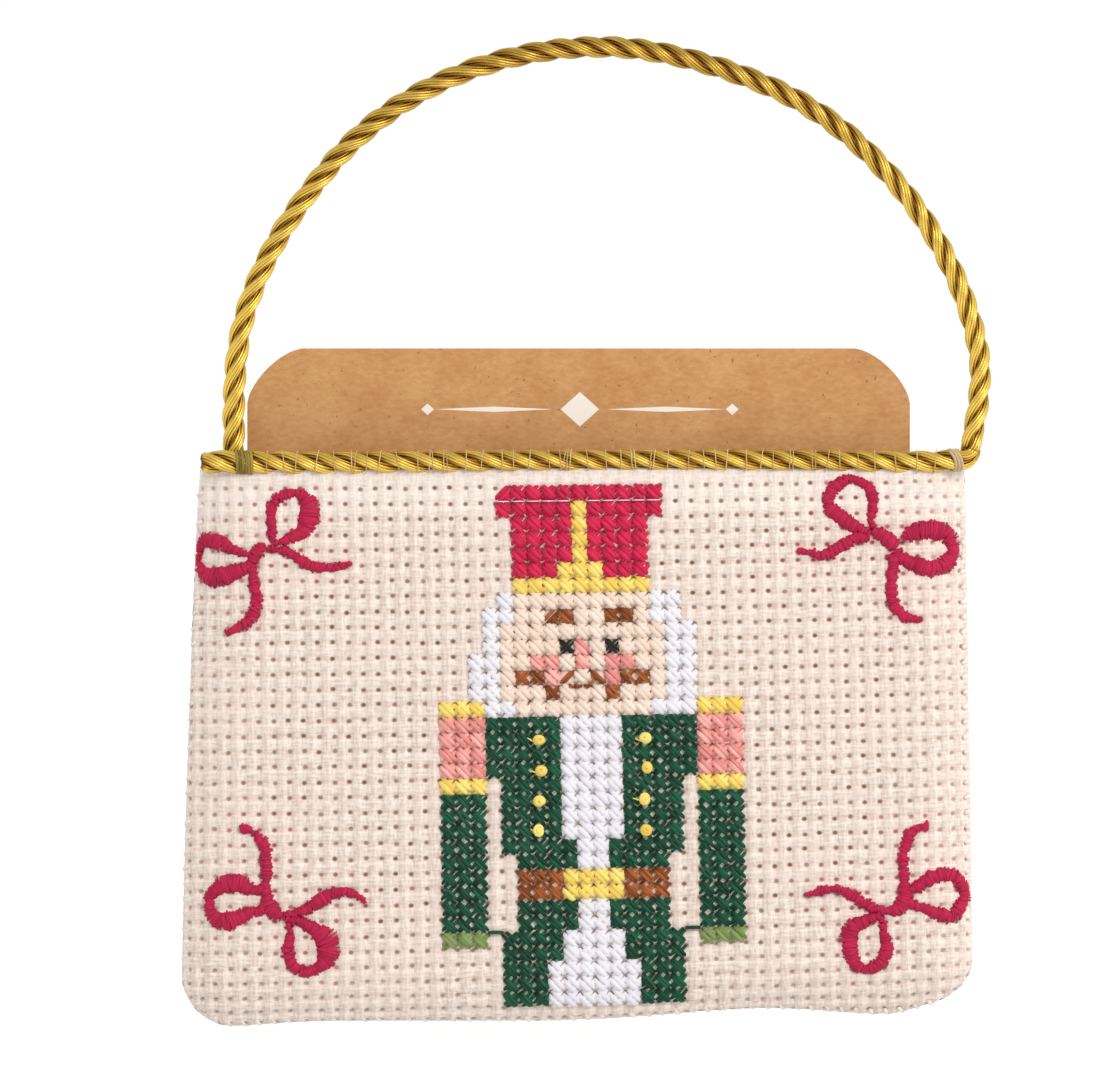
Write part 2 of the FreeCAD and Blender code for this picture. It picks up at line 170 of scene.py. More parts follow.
# %% Floor
FLOOR_Z, FLOOR_SIZE, FLOOR_GLOW, PAPER_SPECKS = -149.2, 8000.0, 0.2, 300.0  # 300 specks to the metre
bpy.ops.mesh.primitive_plane_add(size=FLOOR_SIZE * MM, location=(0, 0, FLOOR_Z * MM))
floor = bpy.context.object
floor.name = "floor"
bpy.ops.object.transform_apply(location=True, rotation=False, scale=False)
# White paper: matt, and lit through a little, so that it stays white in the shade of the pouch.
paper, tree, shader = new_material("white_paper", Roughness=0.9, Emission_Color=linear("#FFFFFF"),
                                   Emission_Strength=FLOOR_GLOW)
where = add(tree, "TexCoord").outputs["Object"]
specks = add(tree, "TexNoise", {"Vector": where, "Scale": PAPER_SPECKS, "Detail": 3.0})
pale = add(tree, "MixRGB", [specks, linear("#FBFAF8"), linear("#FFFFFF")])
tree.links.new(pale.outputs[0], shader.inputs["Base Color"])
floor.data.materials.append(paper)
floor.visible_diffuse = False
print("floor at", FLOOR_Z, "mm")

# %% [markdown]
# ## The line of the cord
# One length of cord trims the front of the mouth, turns up at the right corner, arches over the top and
# goes down inside the pouch on the left. Its line is a smooth NURBS curve whose control points are the
# route of the CAD model. Strands laid along straight runs and arcs would look like bent wire. Blender
# turns the curve into points, and those are spaced evenly so that the twist of the strands is even too.

# %% Lines of the trim, the handle and the tail
HANDLE_ROUTE = [
    (-52.74, -0.50, -57.95), (-52.98, -0.50, -48.25), (-50.65, -0.45, -36.20), (-43.75, -0.35, -23.05),
    (-32.05, -0.20, -9.30), (-15.55, -0.05, -0.40), (3.50, 0.00, 2.70), (20.05, 0.00, -0.25),
    (36.55, -0.20, -7.10), (49.10, -0.70, -18.45), (57.25, -1.50, -31.10), (61.70, -2.60, -44.20),
    (61.45, -3.50, -53.15), (60.25, -4.00, -57.95),
]
TRIM_Y, TRIM_Z = -4.0, -61.75
TRIM_RISES = ((-57.5, 0.05), (-44.0, -0.15), (-26.0, 0.05), (-2.0, 0.35), (36.0, 0.35), (50.0, -0.05),
              (56.4, 0.2), (59.9, 0.45), (60.25, 2.15))
TRIM_ROUTE = [(across, TRIM_Y, TRIM_Z + rise) for across, rise in TRIM_RISES]
TAIL_ROUTE = [(-52.74, -0.5, -61.4), (-52.5, -0.5, -66.0), (-52.5, -0.5, -75.0)]
CORD_STEP, CURVE_STEPS, CURVE_ORDER = 0.42, 24, 3


def smooth_line(name, route):
    """Points, in mm, of a smooth NURBS line whose control points are the route."""
    curve = bpy.data.curves.new(name, "CURVE")
    curve.dimensions = "3D"
    curve.resolution_u = CURVE_STEPS
    spline = curve.splines.new("NURBS")
    spline.points.add(len(route) - 1)
    for point, place in zip(spline.points, route):
        point.co = (*[c * MM for c in place], 1)
    spline.order_u = CURVE_ORDER
    spline.use_endpoint_u = True
    holder = bpy.data.objects.new(name, curve)
    scene.collection.objects.link(holder)
    mesh = bpy.data.meshes.new_from_object(holder)
    points = np.array([v.co for v in mesh.vertices]) / MM
    bpy.data.objects.remove(holder)
    bpy.data.meshes.remove(mesh)
    return points


def run_along(points):
    """Length of a line up to each of its points."""
    return np.concatenate([[0], np.cumsum(np.linalg.norm(np.diff(points, axis=0), axis=1))])


def evenly(points, step):
    """The same line with evenly spaced points."""
    run = run_along(points)
    marks = np.linspace(0, run[-1], max(2, round(run[-1] / step) + 1))
    return np.stack([np.interp(marks, run, points[:, axis]) for axis in range(3)], axis=1)


trim_line = smooth_line("trim_line", TRIM_ROUTE)
handle_line = smooth_line("handle_line", HANDLE_ROUTE[::-1])
tail_line = smooth_line("tail_line", TAIL_ROUTE)
cord_line = evenly(np.concatenate([trim_line, handle_line, tail_line]), CORD_STEP)
print("cord", len(cord_line), "points,", round((len(cord_line) - 1) * CORD_STEP), "mm long")

# %% [markdown]
# ## A helper for meshes
# Most of this object is thread, so most pieces are many small tubes in one mesh. A helper makes the
# object, smooths it, and gives it a UV map and a tone for each point, which the materials read.

# %% Pieces from points and faces
def map_and_values(mesh, uv, values):
    """Gives a mesh a UV map along its threads, and values for its points that the materials read."""
    corner = np.zeros(len(mesh.loops), np.int32)
    mesh.loops.foreach_get("vertex_index", corner)
    layer = mesh.uv_layers.new(name="thread_map")
    layer.data.foreach_set("uv", np.asarray(uv, np.float32)[corner].ravel())
    for key, value in values.items():
        attribute = mesh.attributes.new(key, "FLOAT", "POINT")
        attribute.data.foreach_set("value", np.asarray(value, np.float32).ravel())


def piece_from(name, points, faces, uv, tone):
    """A smooth object from points in mm, with a UV map along its threads and a tone for each point."""
    mesh = bpy.data.meshes.new(name)
    mesh.from_pydata((points * MM).tolist(), [], faces)
    mesh.polygons.foreach_set("use_smooth", np.ones(len(mesh.polygons), bool))
    map_and_values(mesh, uv, {"tone": tone})
    mesh.update()
    piece = bpy.data.objects.new(name, mesh)
    scene.collection.objects.link(piece)
    return piece


def finish_piece(piece, material, body, node):
    """Gives a piece its material and slot, lets it ride on its body and hides the CAD node it stands for."""
    piece.data.materials.append(material)
    if body:
        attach(piece, body)
    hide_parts(node)
    return piece


# %% Tubes along lines
START_WAY = (0.31, 0.87, 0.39)  # no line starts off this way, so it gives a direction across each of them


def unit(vectors):
    """The same directions, each with the length 1."""
    return vectors / np.linalg.norm(vectors, axis=-1, keepdims=True)


def around(across, up, turn):
    """Directions that are turned from across towards up."""
    return across * np.cos(turn)[..., None] + up * np.sin(turn)[..., None]


def frames_along(points):
    """Two directions across a line, at each of its points, that don't twist round it."""
    tangent = unit(np.gradient(points, axis=0))
    across = np.empty_like(points)
    across[0] = unit(np.cross(tangent[0], START_WAY))
    for i in range(1, len(points)):
        across[i] = unit(across[i - 1] - tangent[i] * (across[i - 1] @ tangent[i]))
    return across, np.cross(tangent, across)


def tubes(lines, radii, sides):
    """Points, faces and UV of round tubes along several lines of equal length; a radius for each point."""
    turn = np.arange(sides) * 2 * math.pi / sides
    points, faces, uv, start = [], [], [], 0
    for line, radius in zip(lines, radii):
        across, up = frames_along(line)
        ring = around(across[:, None], up[:, None], turn)
        points.append((line[:, None] + ring * np.asarray(radius)[:, None, None]).reshape(-1, 3))
        run = np.repeat(run_along(line), sides)
        uv.append(np.stack([run, np.tile(turn / 2 / math.pi, len(line))], axis=1))
        row = np.arange(len(line) - 1)[:, None] * sides + start
        one, two = np.arange(sides)[None], (np.arange(sides)[None] + 1) % sides
        quads = np.stack([row + one, row + two, row + two + sides, row + one + sides], axis=-1)
        faces += quads.reshape(-1, 4).tolist()
        faces.append((start + np.arange(sides))[::-1].tolist())
        faces.append((start + (len(line) - 1) * sides + np.arange(sides)).tolist())
        start += len(line) * sides
    return np.concatenate(points), faces, np.concatenate(uv)


# %% [markdown]
# ## Gold cord
# Metallic cord is three strands laid together with a Z twist, and each strand is a bundle of shiny yarns.
# A tube with a twisted texture would be lighter, but its outline would be smooth, and here the outline
# shows every strand. So each yarn is a thin tube of its own: it runs round its strand one way while the
# strand runs round the cord the other way. The bends of the yarns catch the lamp and leave the deep gaps
# dark, and a tone deepens both: painted highlight on the outer yarns and painted shade in the gaps.

# %% Material: gilt viscose yarn
# Flat gilt film spun with viscose: a warm metal, bright along the yarn, with painted brown shade in the gaps.
YARN_FIBRE, FIBRES_ON_YARN, FIBRE_TONE = 0.5, 5.0, 0.3  # half a fibre to the mm, and five round the yarn
GILT = ((0.20, "#704811"), (0.60, "#9E782A"), (0.92, "#E2C05A"))
gilt_yarn, tree, shader = new_material("gilt_viscose_yarn", Metallic=0.85, Roughness=0.34)
along = add(tree, "UVMap", uv_map="thread_map")
stretch = add(tree, "Mapping", {"Vector": along, "Scale": (YARN_FIBRE, FIBRES_ON_YARN, 1.0)})
fibres = add(tree, "TexNoise", {"Vector": stretch, "Scale": 1.0, "Detail": 4.0, "Roughness": 0.7})
tone = add(tree, "Attribute", attribute_name="tone").outputs["Fac"]
mixed = add(tree, "Math", [fibres, FIBRE_TONE, tone], "MULTIPLY_ADD")
gilt = add(tree, "ValToRGB", [mixed])
gilt.color_ramp.elements.new(GILT[1][0])
for stop, (place, colour) in zip(gilt.color_ramp.elements, GILT):
    stop.position, stop.color = place, linear(colour)
dress(tree, shader, gilt, fibres, strength=0.5, distance=0.06)
print("made", gilt_yarn.name)

# %% The twist of the whole cord
STRANDS, YARNS, YARN_SIDES = 3, 10, 5
TRIM_LAY, HANDLE_LAY, YARN_LAY = 13.8, 12.6, 26.0
LAY_RUN, LAY_WANDERS = 9.0, 0.05
CORD_DIAMETER, END_TAPER, END_SHARE = 3.0, 1.3, 0.6
STRAND_ORBIT, STRAND_CORE, YARN_ORBIT, YARN_RADIUS, YARN_SHADES = 0.77, 0.55, 0.70, 0.25, (0.05, 0.45)
# How full the cord is, place and share: along the mouth, where it is sewn down loosely or tightly, and up the
# left leg.
TRIM_FULLNESS = ((-57.0, 1.08), (-44.0, 1.06), (-26.0, 1.0), (0.0, 0.92), (38.0, 0.92), (50.0, 1.0),
                 (60.0, 1.0))
FOOT_FULLNESS, FOOT_X = ((-61.4, 1.0), (-58.0, 1.06), (-48.0, 1.06), (-42.0, 1.0)), -48.0

cord_across, cord_up = frames_along(cord_line)
run = np.arange(len(cord_line)) * CORD_STEP
marks = np.arange(0, run[-1] + LAY_RUN, LAY_RUN)
uneven = np.interp(run, marks, dice.normal(1, LAY_WANDERS, len(marks)))
yarn_tones = dice.uniform(*YARN_SHADES, STRANDS * YARNS)
twist = np.cumsum(CORD_STEP * uneven / np.where(cord_line[:, 2] < TRIM_Z + 1, TRIM_LAY, HANDLE_LAY))
full = np.clip(run / END_TAPER, 0, 1)
full = END_SHARE + (1 - END_SHARE) * np.sqrt(full * (2 - full))
full *= np.where(cord_line[:, 1] < TRIM_Y + 0.01, np.interp(cord_line[:, 0], *zip(*TRIM_FULLNESS)), 1)
full *= np.where(cord_line[:, 0] < FOOT_X, np.interp(cord_line[:, 2], *zip(*FOOT_FULLNESS)), 1)
print("cord", round(float(twist[-1]), 1), "turns")

# %% Pieces of the cord
# Yarns differ a little in tone; from a certain radius on they get painted light the further out they lie.
YARN_TONE, CREST_START, PAINTED_CREST_LIGHT, CREST_EDGE = 0.33, 0.75, 0.65, 2.0
# Painted shade on the top of the handle and painted light lower down on its legs: height and tone.
PAINTED_LIGHT_BY_HEIGHT = ((-59.6, 0.0), (-58.0, 0.10), (-40.0, 0.09), (-12.0, -0.08), (0.0, -0.15))


def cord_piece(name, first, last):
    """One piece of the cord, between two points of its line: yarns round a core in each of its strands."""
    part = slice(first, last + 1)
    count = last + 1 - first
    lines, tones = [], []
    for strand in range(STRANDS):
        turn = 2 * math.pi * (twist[part] + strand / STRANDS)
        outward = around(cord_across[part], cord_up[part], turn)
        round_it = around(cord_up[part], -cord_across[part], turn)
        middle = cord_line[part] + outward * (STRAND_ORBIT * full[part])[:, None]
        for yarn in range(YARNS):
            spin = 2 * math.pi * (yarn / YARNS - run[part] / YARN_LAY)
            lines.append(middle + around(outward, round_it, spin) * (YARN_ORBIT * full[part])[:, None])
            tones.append(yarn_tones[strand * YARNS + yarn])
        # The core shows only in the gaps between the yarns, and its lowest tone is painted shade there.
        lines.append(middle)
        tones.append(0.0)
    radii = [np.full(count, radius) for radius in ([YARN_RADIUS] * YARNS + [STRAND_CORE]) * STRANDS]
    points, faces, uv = tubes(lines, radii, YARN_SIDES)
    axis = np.tile(np.repeat(cord_line[part], YARN_SIDES, axis=0), (len(lines), 1))
    # Painted light grows with the distance from the cord's axis, and what lies nearer stays in painted shade.
    crest_light_share = (np.linalg.norm(points - axis, axis=1) - CREST_START) / (CORD_DIAMETER / 2 - CREST_START)
    tone = YARN_TONE * np.repeat(tones, YARN_SIDES * count) + PAINTED_CREST_LIGHT * np.clip(crest_light_share, 0, 1) ** CREST_EDGE
    piece = piece_from(name, points, faces, uv, tone + np.interp(points[:, 2], *zip(*PAINTED_LIGHT_BY_HEIGHT)))
    for face in piece.data.polygons:  # the cut ends stay flat
        face.use_smooth = len(face.vertices) == 4
    print(name, len(piece.data.polygons), "faces")
    return piece


turn_up = int(np.argmin(np.linalg.norm(cord_line - trim_line[-1], axis=1)))
turn_down = int(np.argmin(np.linalg.norm(cord_line - tail_line[0], axis=1)))
for name, first, last, node in (("trim_twist", 0, turn_up, "trim_cord"),
                                ("tail_twist", turn_down, len(cord_line) - 1, "handle_tail")):
    finish_piece(cord_piece(name, first, last), gilt_yarn, "pouch", node)
handle = cord_piece("handle_twist", turn_up, turn_down)
finish_piece(handle, gilt_yarn, None, "handle_cord")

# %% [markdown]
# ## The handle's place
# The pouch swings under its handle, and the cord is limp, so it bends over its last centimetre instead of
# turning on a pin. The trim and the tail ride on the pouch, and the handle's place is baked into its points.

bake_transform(handle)

# %% [markdown]
# ## How the cloth lies
# The pouch is two panels of Aida cloth, sewn together at the sides and the bottom. Its weave is counted
# in holes: column and row say where a stitch is, and grain() says where that hole lies on the real cloth,
# whose rows rise a little to the right. The outline widens a little downwards, and its bottom edge waves.
# Towards the seam the cloth rounds off, as in the CAD model, so the flat cloth is a little larger than
# what is seen of it. All this is plain arithmetic on arrays of points, which a sculpting brush couldn't
# repeat exactly.

# %% The grain and the outline
MOUTH_Z, LOW_Z = -63.25, -138.0
LEFT_CORNER, RIGHT_CORNER = 8.3, 6.4


def grain(column, row):
    """Place of a hole on the flat cloth; the numbers are fitted to the weave in the photograph."""
    x = -21.84 + 2.298 * column + 0.0547 * row + 0.00083 * column * row - 0.00057 * row * row
    z = -65.53 + 0.0142 * column - 2.356 * row + 0.00113 * column * row + 0.00057 * column * column
    return x, z


def inside(x, z):
    """Distance in from the outline, fitted to the photograph: its bottom edge rises to the right corner."""
    down = (MOUTH_Z - z) / (MOUTH_Z - LOW_Z)
    left = -58.0 - 3.9 * down + 1.2 * down * down
    right = 59.3 + 1.2 * down
    bottom = -147.4 + 1.9 * np.exp(-((x - 29) / 19) ** 2)
    bottom += 3.4 / (1 + np.exp((52.5 - x) / 2.3)) - 0.9 / (1 + np.exp((x + 47) / 3))
    across = np.minimum(x - left, right - x)
    up = z - bottom
    corner = np.where(x < 0, LEFT_CORNER, RIGHT_CORNER)
    rounded = corner - np.hypot(corner - across, corner - up)
    return np.where((across < corner) & (up < corner), rounded, np.minimum(across, up))


def outwards(x, z, step=0.05):
    """Direction towards the nearest part of the outline."""
    dx = inside(x - step, z) - inside(x + step, z)
    dz = inside(x, z - step) - inside(x, z + step)
    size = np.hypot(dx, dz) + 1e-9
    return dx / size, dz / size


print("holes", round(grain(1, 0)[0] - grain(0, 0)[0], 2), "mm apart")

# %% The rounded edge
HALF_THICKNESS, EDGE_RADIUS, CROWN_RADIUS = 4.3, 2.2, 12.7
CROWN_RUN = math.sqrt((CROWN_RADIUS - EDGE_RADIUS) ** 2 - (CROWN_RADIUS - HALF_THICKNESS) ** 2)
LEAN = math.atan2(CROWN_RADIUS - HALF_THICKNESS, CROWN_RUN)
ROUNDED = CROWN_RUN + EDGE_RADIUS


def waves(x, z):
    """Slight unevenness of the front, in mm."""
    return 0.16 * np.sin(x / 13.0 + 0.8) * np.sin(z / 17.0 + 0.3) + 0.10 * np.sin(x / 7.3 - z / 9.1)


def depth_seen(x, z):
    """How far in front of the seam the cloth lies, at a place as it is seen from the front."""
    out = np.clip(ROUNDED - inside(x, z), 0, ROUNDED)
    edge = np.sqrt(np.clip(EDGE_RADIUS ** 2 - (out - CROWN_RUN) ** 2, 0, None))
    crown = np.sqrt(CROWN_RADIUS ** 2 - out ** 2) - (CROWN_RADIUS - HALF_THICKNESS)
    return np.where(out > CROWN_RADIUS * math.cos(LEAN), edge, crown)


def on_front(x, z, lift=0.0):
    """Point on the front cloth, lifted off it, and the direction out of the cloth there."""
    def height(x, z):
        deep = depth_seen(x, z)
        return deep + waves(x, z) * np.clip(deep / HALF_THICKNESS, 0, 1)

    step = 0.12
    slope_x = (height(x + step, z) - height(x - step, z)) / (2 * step)
    slope_z = (height(x, z + step) - height(x, z - step)) / (2 * step)
    normal = unit(np.stack([-slope_x, -np.ones_like(x), -slope_z], axis=-1))
    return np.stack([x, -height(x, z), z], axis=-1) + normal * np.asarray(lift)[..., None], normal


def round_off(x, z, inset=0.0):
    """Where places on the flat cloth lie once its edge is rounded off, how deep and how far from the seam."""
    edge, crown = EDGE_RADIUS - inset, CROWN_RADIUS - inset
    length = edge * LEAN + crown * (math.pi / 2 - LEAN)
    past_flat = np.clip(ROUNDED - inside(x, z), 0, None)
    from_seam = length - past_flat
    on_edge = from_seam < edge * LEAN
    rim = np.clip(from_seam / edge, 0, LEAN)
    dome = np.clip(LEAN + (from_seam - edge * LEAN) / crown, LEAN, math.pi / 2)
    out = np.where(on_edge, CROWN_RUN + edge * np.cos(rim), crown * np.cos(dome))
    deep = np.where(on_edge, edge * np.sin(rim), HALF_THICKNESS - CROWN_RADIUS + crown * np.sin(dome))
    way_x, way_z = outwards(x, z)
    shift = np.where(past_flat > 0, out - past_flat, 0)
    return x + way_x * shift, z + way_z * shift, deep, from_seam


print("cloth rounded off over", round(ROUNDED, 2), "mm")

# %% [markdown]
# ## Aida cloth
# Aida is woven in small square bundles of cotton threads, with a hole at every corner of a square: 11
# holes to the inch, 2.3 mm apart. Its panel starts as a grid primitive with six faces to a square. In
# code, each point then goes to its place on the cloth: squares swell, holes sink, the sides round off and
# the top edge turns in as a hem. Points beyond the seam are deleted in edit mode, and the last ones left
# move exactly on to the seam. The fine threads are too small for geometry, so the material draws them in
# the squares' own UV map.

# %% Material: counted Aida cotton
# Soft, dull bundles of unbleached cotton, with painted brown shade in the holes, paler towards the sides.
aida, tree, shader = new_material("counted_aida_cotton", Roughness=0.88, Sheen_Weight=0.2,
                                  Sheen_Roughness=0.5)
weave = add(tree, "UVMap", uv_map="thread_map")
split = add(tree, "SeparateXYZ", [weave])
number = add(tree, "VectorMath", [weave, (0.5, 0.5, 0.0)], "ADD")
number = add(tree, "VectorMath", [number], "FLOOR")
chance = add(tree, "TexWhiteNoise", {"Vector": number}, noise_dimensions="2D")
wander = add(tree, "VectorMath", [chance.outputs["Color"], (0.5, 0.5, 0.5)], "SUBTRACT")
wander = add(tree, "SeparateXYZ", [wander])
print("made", aida.name)

# %% Holes of the Aida
# Mask of painted hole shade: distance to the nearest hole, which lies a little off its whole number.
HOLE_REACH, HOLE_WANDERS, PALEST_HOLE, HOLE_EDGE = {"X": 0.18, "Y": 0.15}, 0.13, 0.65, (1.6, 0.1)
squared = 0.0
for axis, reach in HOLE_REACH.items():
    near = add(tree, "Math", [split.outputs[axis], 0.5, -0.5], "WRAP")
    near = add(tree, "Math", [wander.outputs[axis], HOLE_WANDERS, near], "MULTIPLY_ADD")
    offset = add(tree, "Math", [near, reach], "DIVIDE")
    squared = add(tree, "Math", [offset, offset, squared], "MULTIPLY_ADD")
hole = add(tree, "MapRange", [squared, *HOLE_EDGE], interpolation_type="SMOOTHSTEP")
painted_hole_darkness = add(tree, "MapRange", [chance, 0.0, 1.0, PALEST_HOLE, 1.0])
for share in (painted_hole_darkness, add(tree, "Attribute", attribute_name="painted_hole_shade").outputs["Fac"]):
    hole = add(tree, "Math", [hole, share], "MULTIPLY")
print("holes reach", HOLE_REACH["X"], "of a square to each side")

# %% Threads of the Aida
# Ribs and fluff run both ways, with painted shade in a groove between rows and painted light on square sides.
THREADS_IN_SQUARE, RIB_HEIGHT, THREAD_SHADES = 3, 0.035, (0.76, 1.18)
FLUFF = {"X": ((6.0, 1.3, 1.0), (0.0, 0.0, 0.0)), "Y": ((1.3, 6.0, 1.0), (3.7, 1.9, 0.0))}
GROOVE_EDGE, PAINTED_GROOVE_SHADE, PAINTED_SIDE_SHADE, PAINTED_SIDE_TURN = (0.25, 0.0), 0.20, 0.12, 1.0
ribs, fluff = 0.0, 0.0
for axis, (scale, start) in FLUFF.items():
    wave = add(tree, "Math", [split.outputs[axis], 2 * math.pi * THREADS_IN_SQUARE], "MULTIPLY")
    wave = add(tree, "Math", [wave], "COSINE")
    ribs = add(tree, "Math", [wave, ribs], "ADD")
    ends = add(tree, "Mapping", {"Vector": weave, "Scale": scale, "Location": start})
    noise = add(tree, "TexNoise", {"Vector": ends, "Scale": 1.0, "Detail": 4.0, "Roughness": 0.55})
    fluff = add(tree, "Math", [noise, fluff], "ADD")
threads = add(tree, "Math", [ribs, RIB_HEIGHT, fluff], "MULTIPLY_ADD")
painted_groove_shade = add(tree, "Math", [near], "ABSOLUTE")
painted_groove_shade = add(tree, "MapRange", [painted_groove_shade, *GROOVE_EDGE, 0.0, PAINTED_GROOVE_SHADE], interpolation_type="SMOOTHSTEP")
shade = add(tree, "MapRange", [threads, *THREAD_SHADES])
shade = add(tree, "Math", [shade, painted_groove_shade], "SUBTRACT")
painted_side_light = add(tree, "Math", [split.outputs["X"], 2 * math.pi, PAINTED_SIDE_TURN], "MULTIPLY_ADD")
painted_side_light = add(tree, "Math", [painted_side_light], "COSINE")
shade = add(tree, "Math", [painted_side_light, PAINTED_SIDE_SHADE, shade], "MULTIPLY_ADD")
print(THREADS_IN_SQUARE, "threads to a square, both ways")

# %% Colours of the Aida
# The cotton, its pinker patches, a band of painted light along the top, and holes that redden near the bows.
PATCH_SCALE, PATCH_SHADES = 90.0, (0.35, 0.65, 0.15, 0.4)  # 90 to the metre: patches of 11 mm
cotton = add(tree, "MixRGB", [shade, linear("#CEB8A8"), linear("#F5ECE3")])
where = add(tree, "TexCoord").outputs["Object"]
patch = add(tree, "TexNoise", {"Vector": where, "Scale": PATCH_SCALE, "Detail": 2.0})
patch = add(tree, "MapRange", [patch, *PATCH_SHADES])
painted_top_light = add(tree, "Attribute", attribute_name="painted_top_light").outputs["Fac"]
stain = add(tree, "Attribute", attribute_name="bow_thread").outputs["Fac"]
for share, colour in ((patch, "#F3DCD2"), (painted_top_light, "#FBF4EE")):
    cotton = add(tree, "MixRGB", [share, cotton, linear(colour)])
# The pit colour is painted brown shade in the holes, and near the bows it turns crimson.
pit = add(tree, "MixRGB", [wander.outputs["Z"], linear("#765539"), linear("#8E5444")])
pit = add(tree, "MixRGB", [stain, pit, linear("#B02E50")])
cotton = add(tree, "MixRGB", [hole, cotton, pit])
dress(tree, shader, cotton, threads, strength=0.9, distance=0.16)
print("coloured", aida.name)

# %% [markdown]
# ## Where the bows are
# The four bows are needed before the cloth, because their crimson thread shows in the holes round them.
# Each is a few ribbon strokes: a line on the cloth with the width of the ribbon at each point, across, up
# and wide in mm.

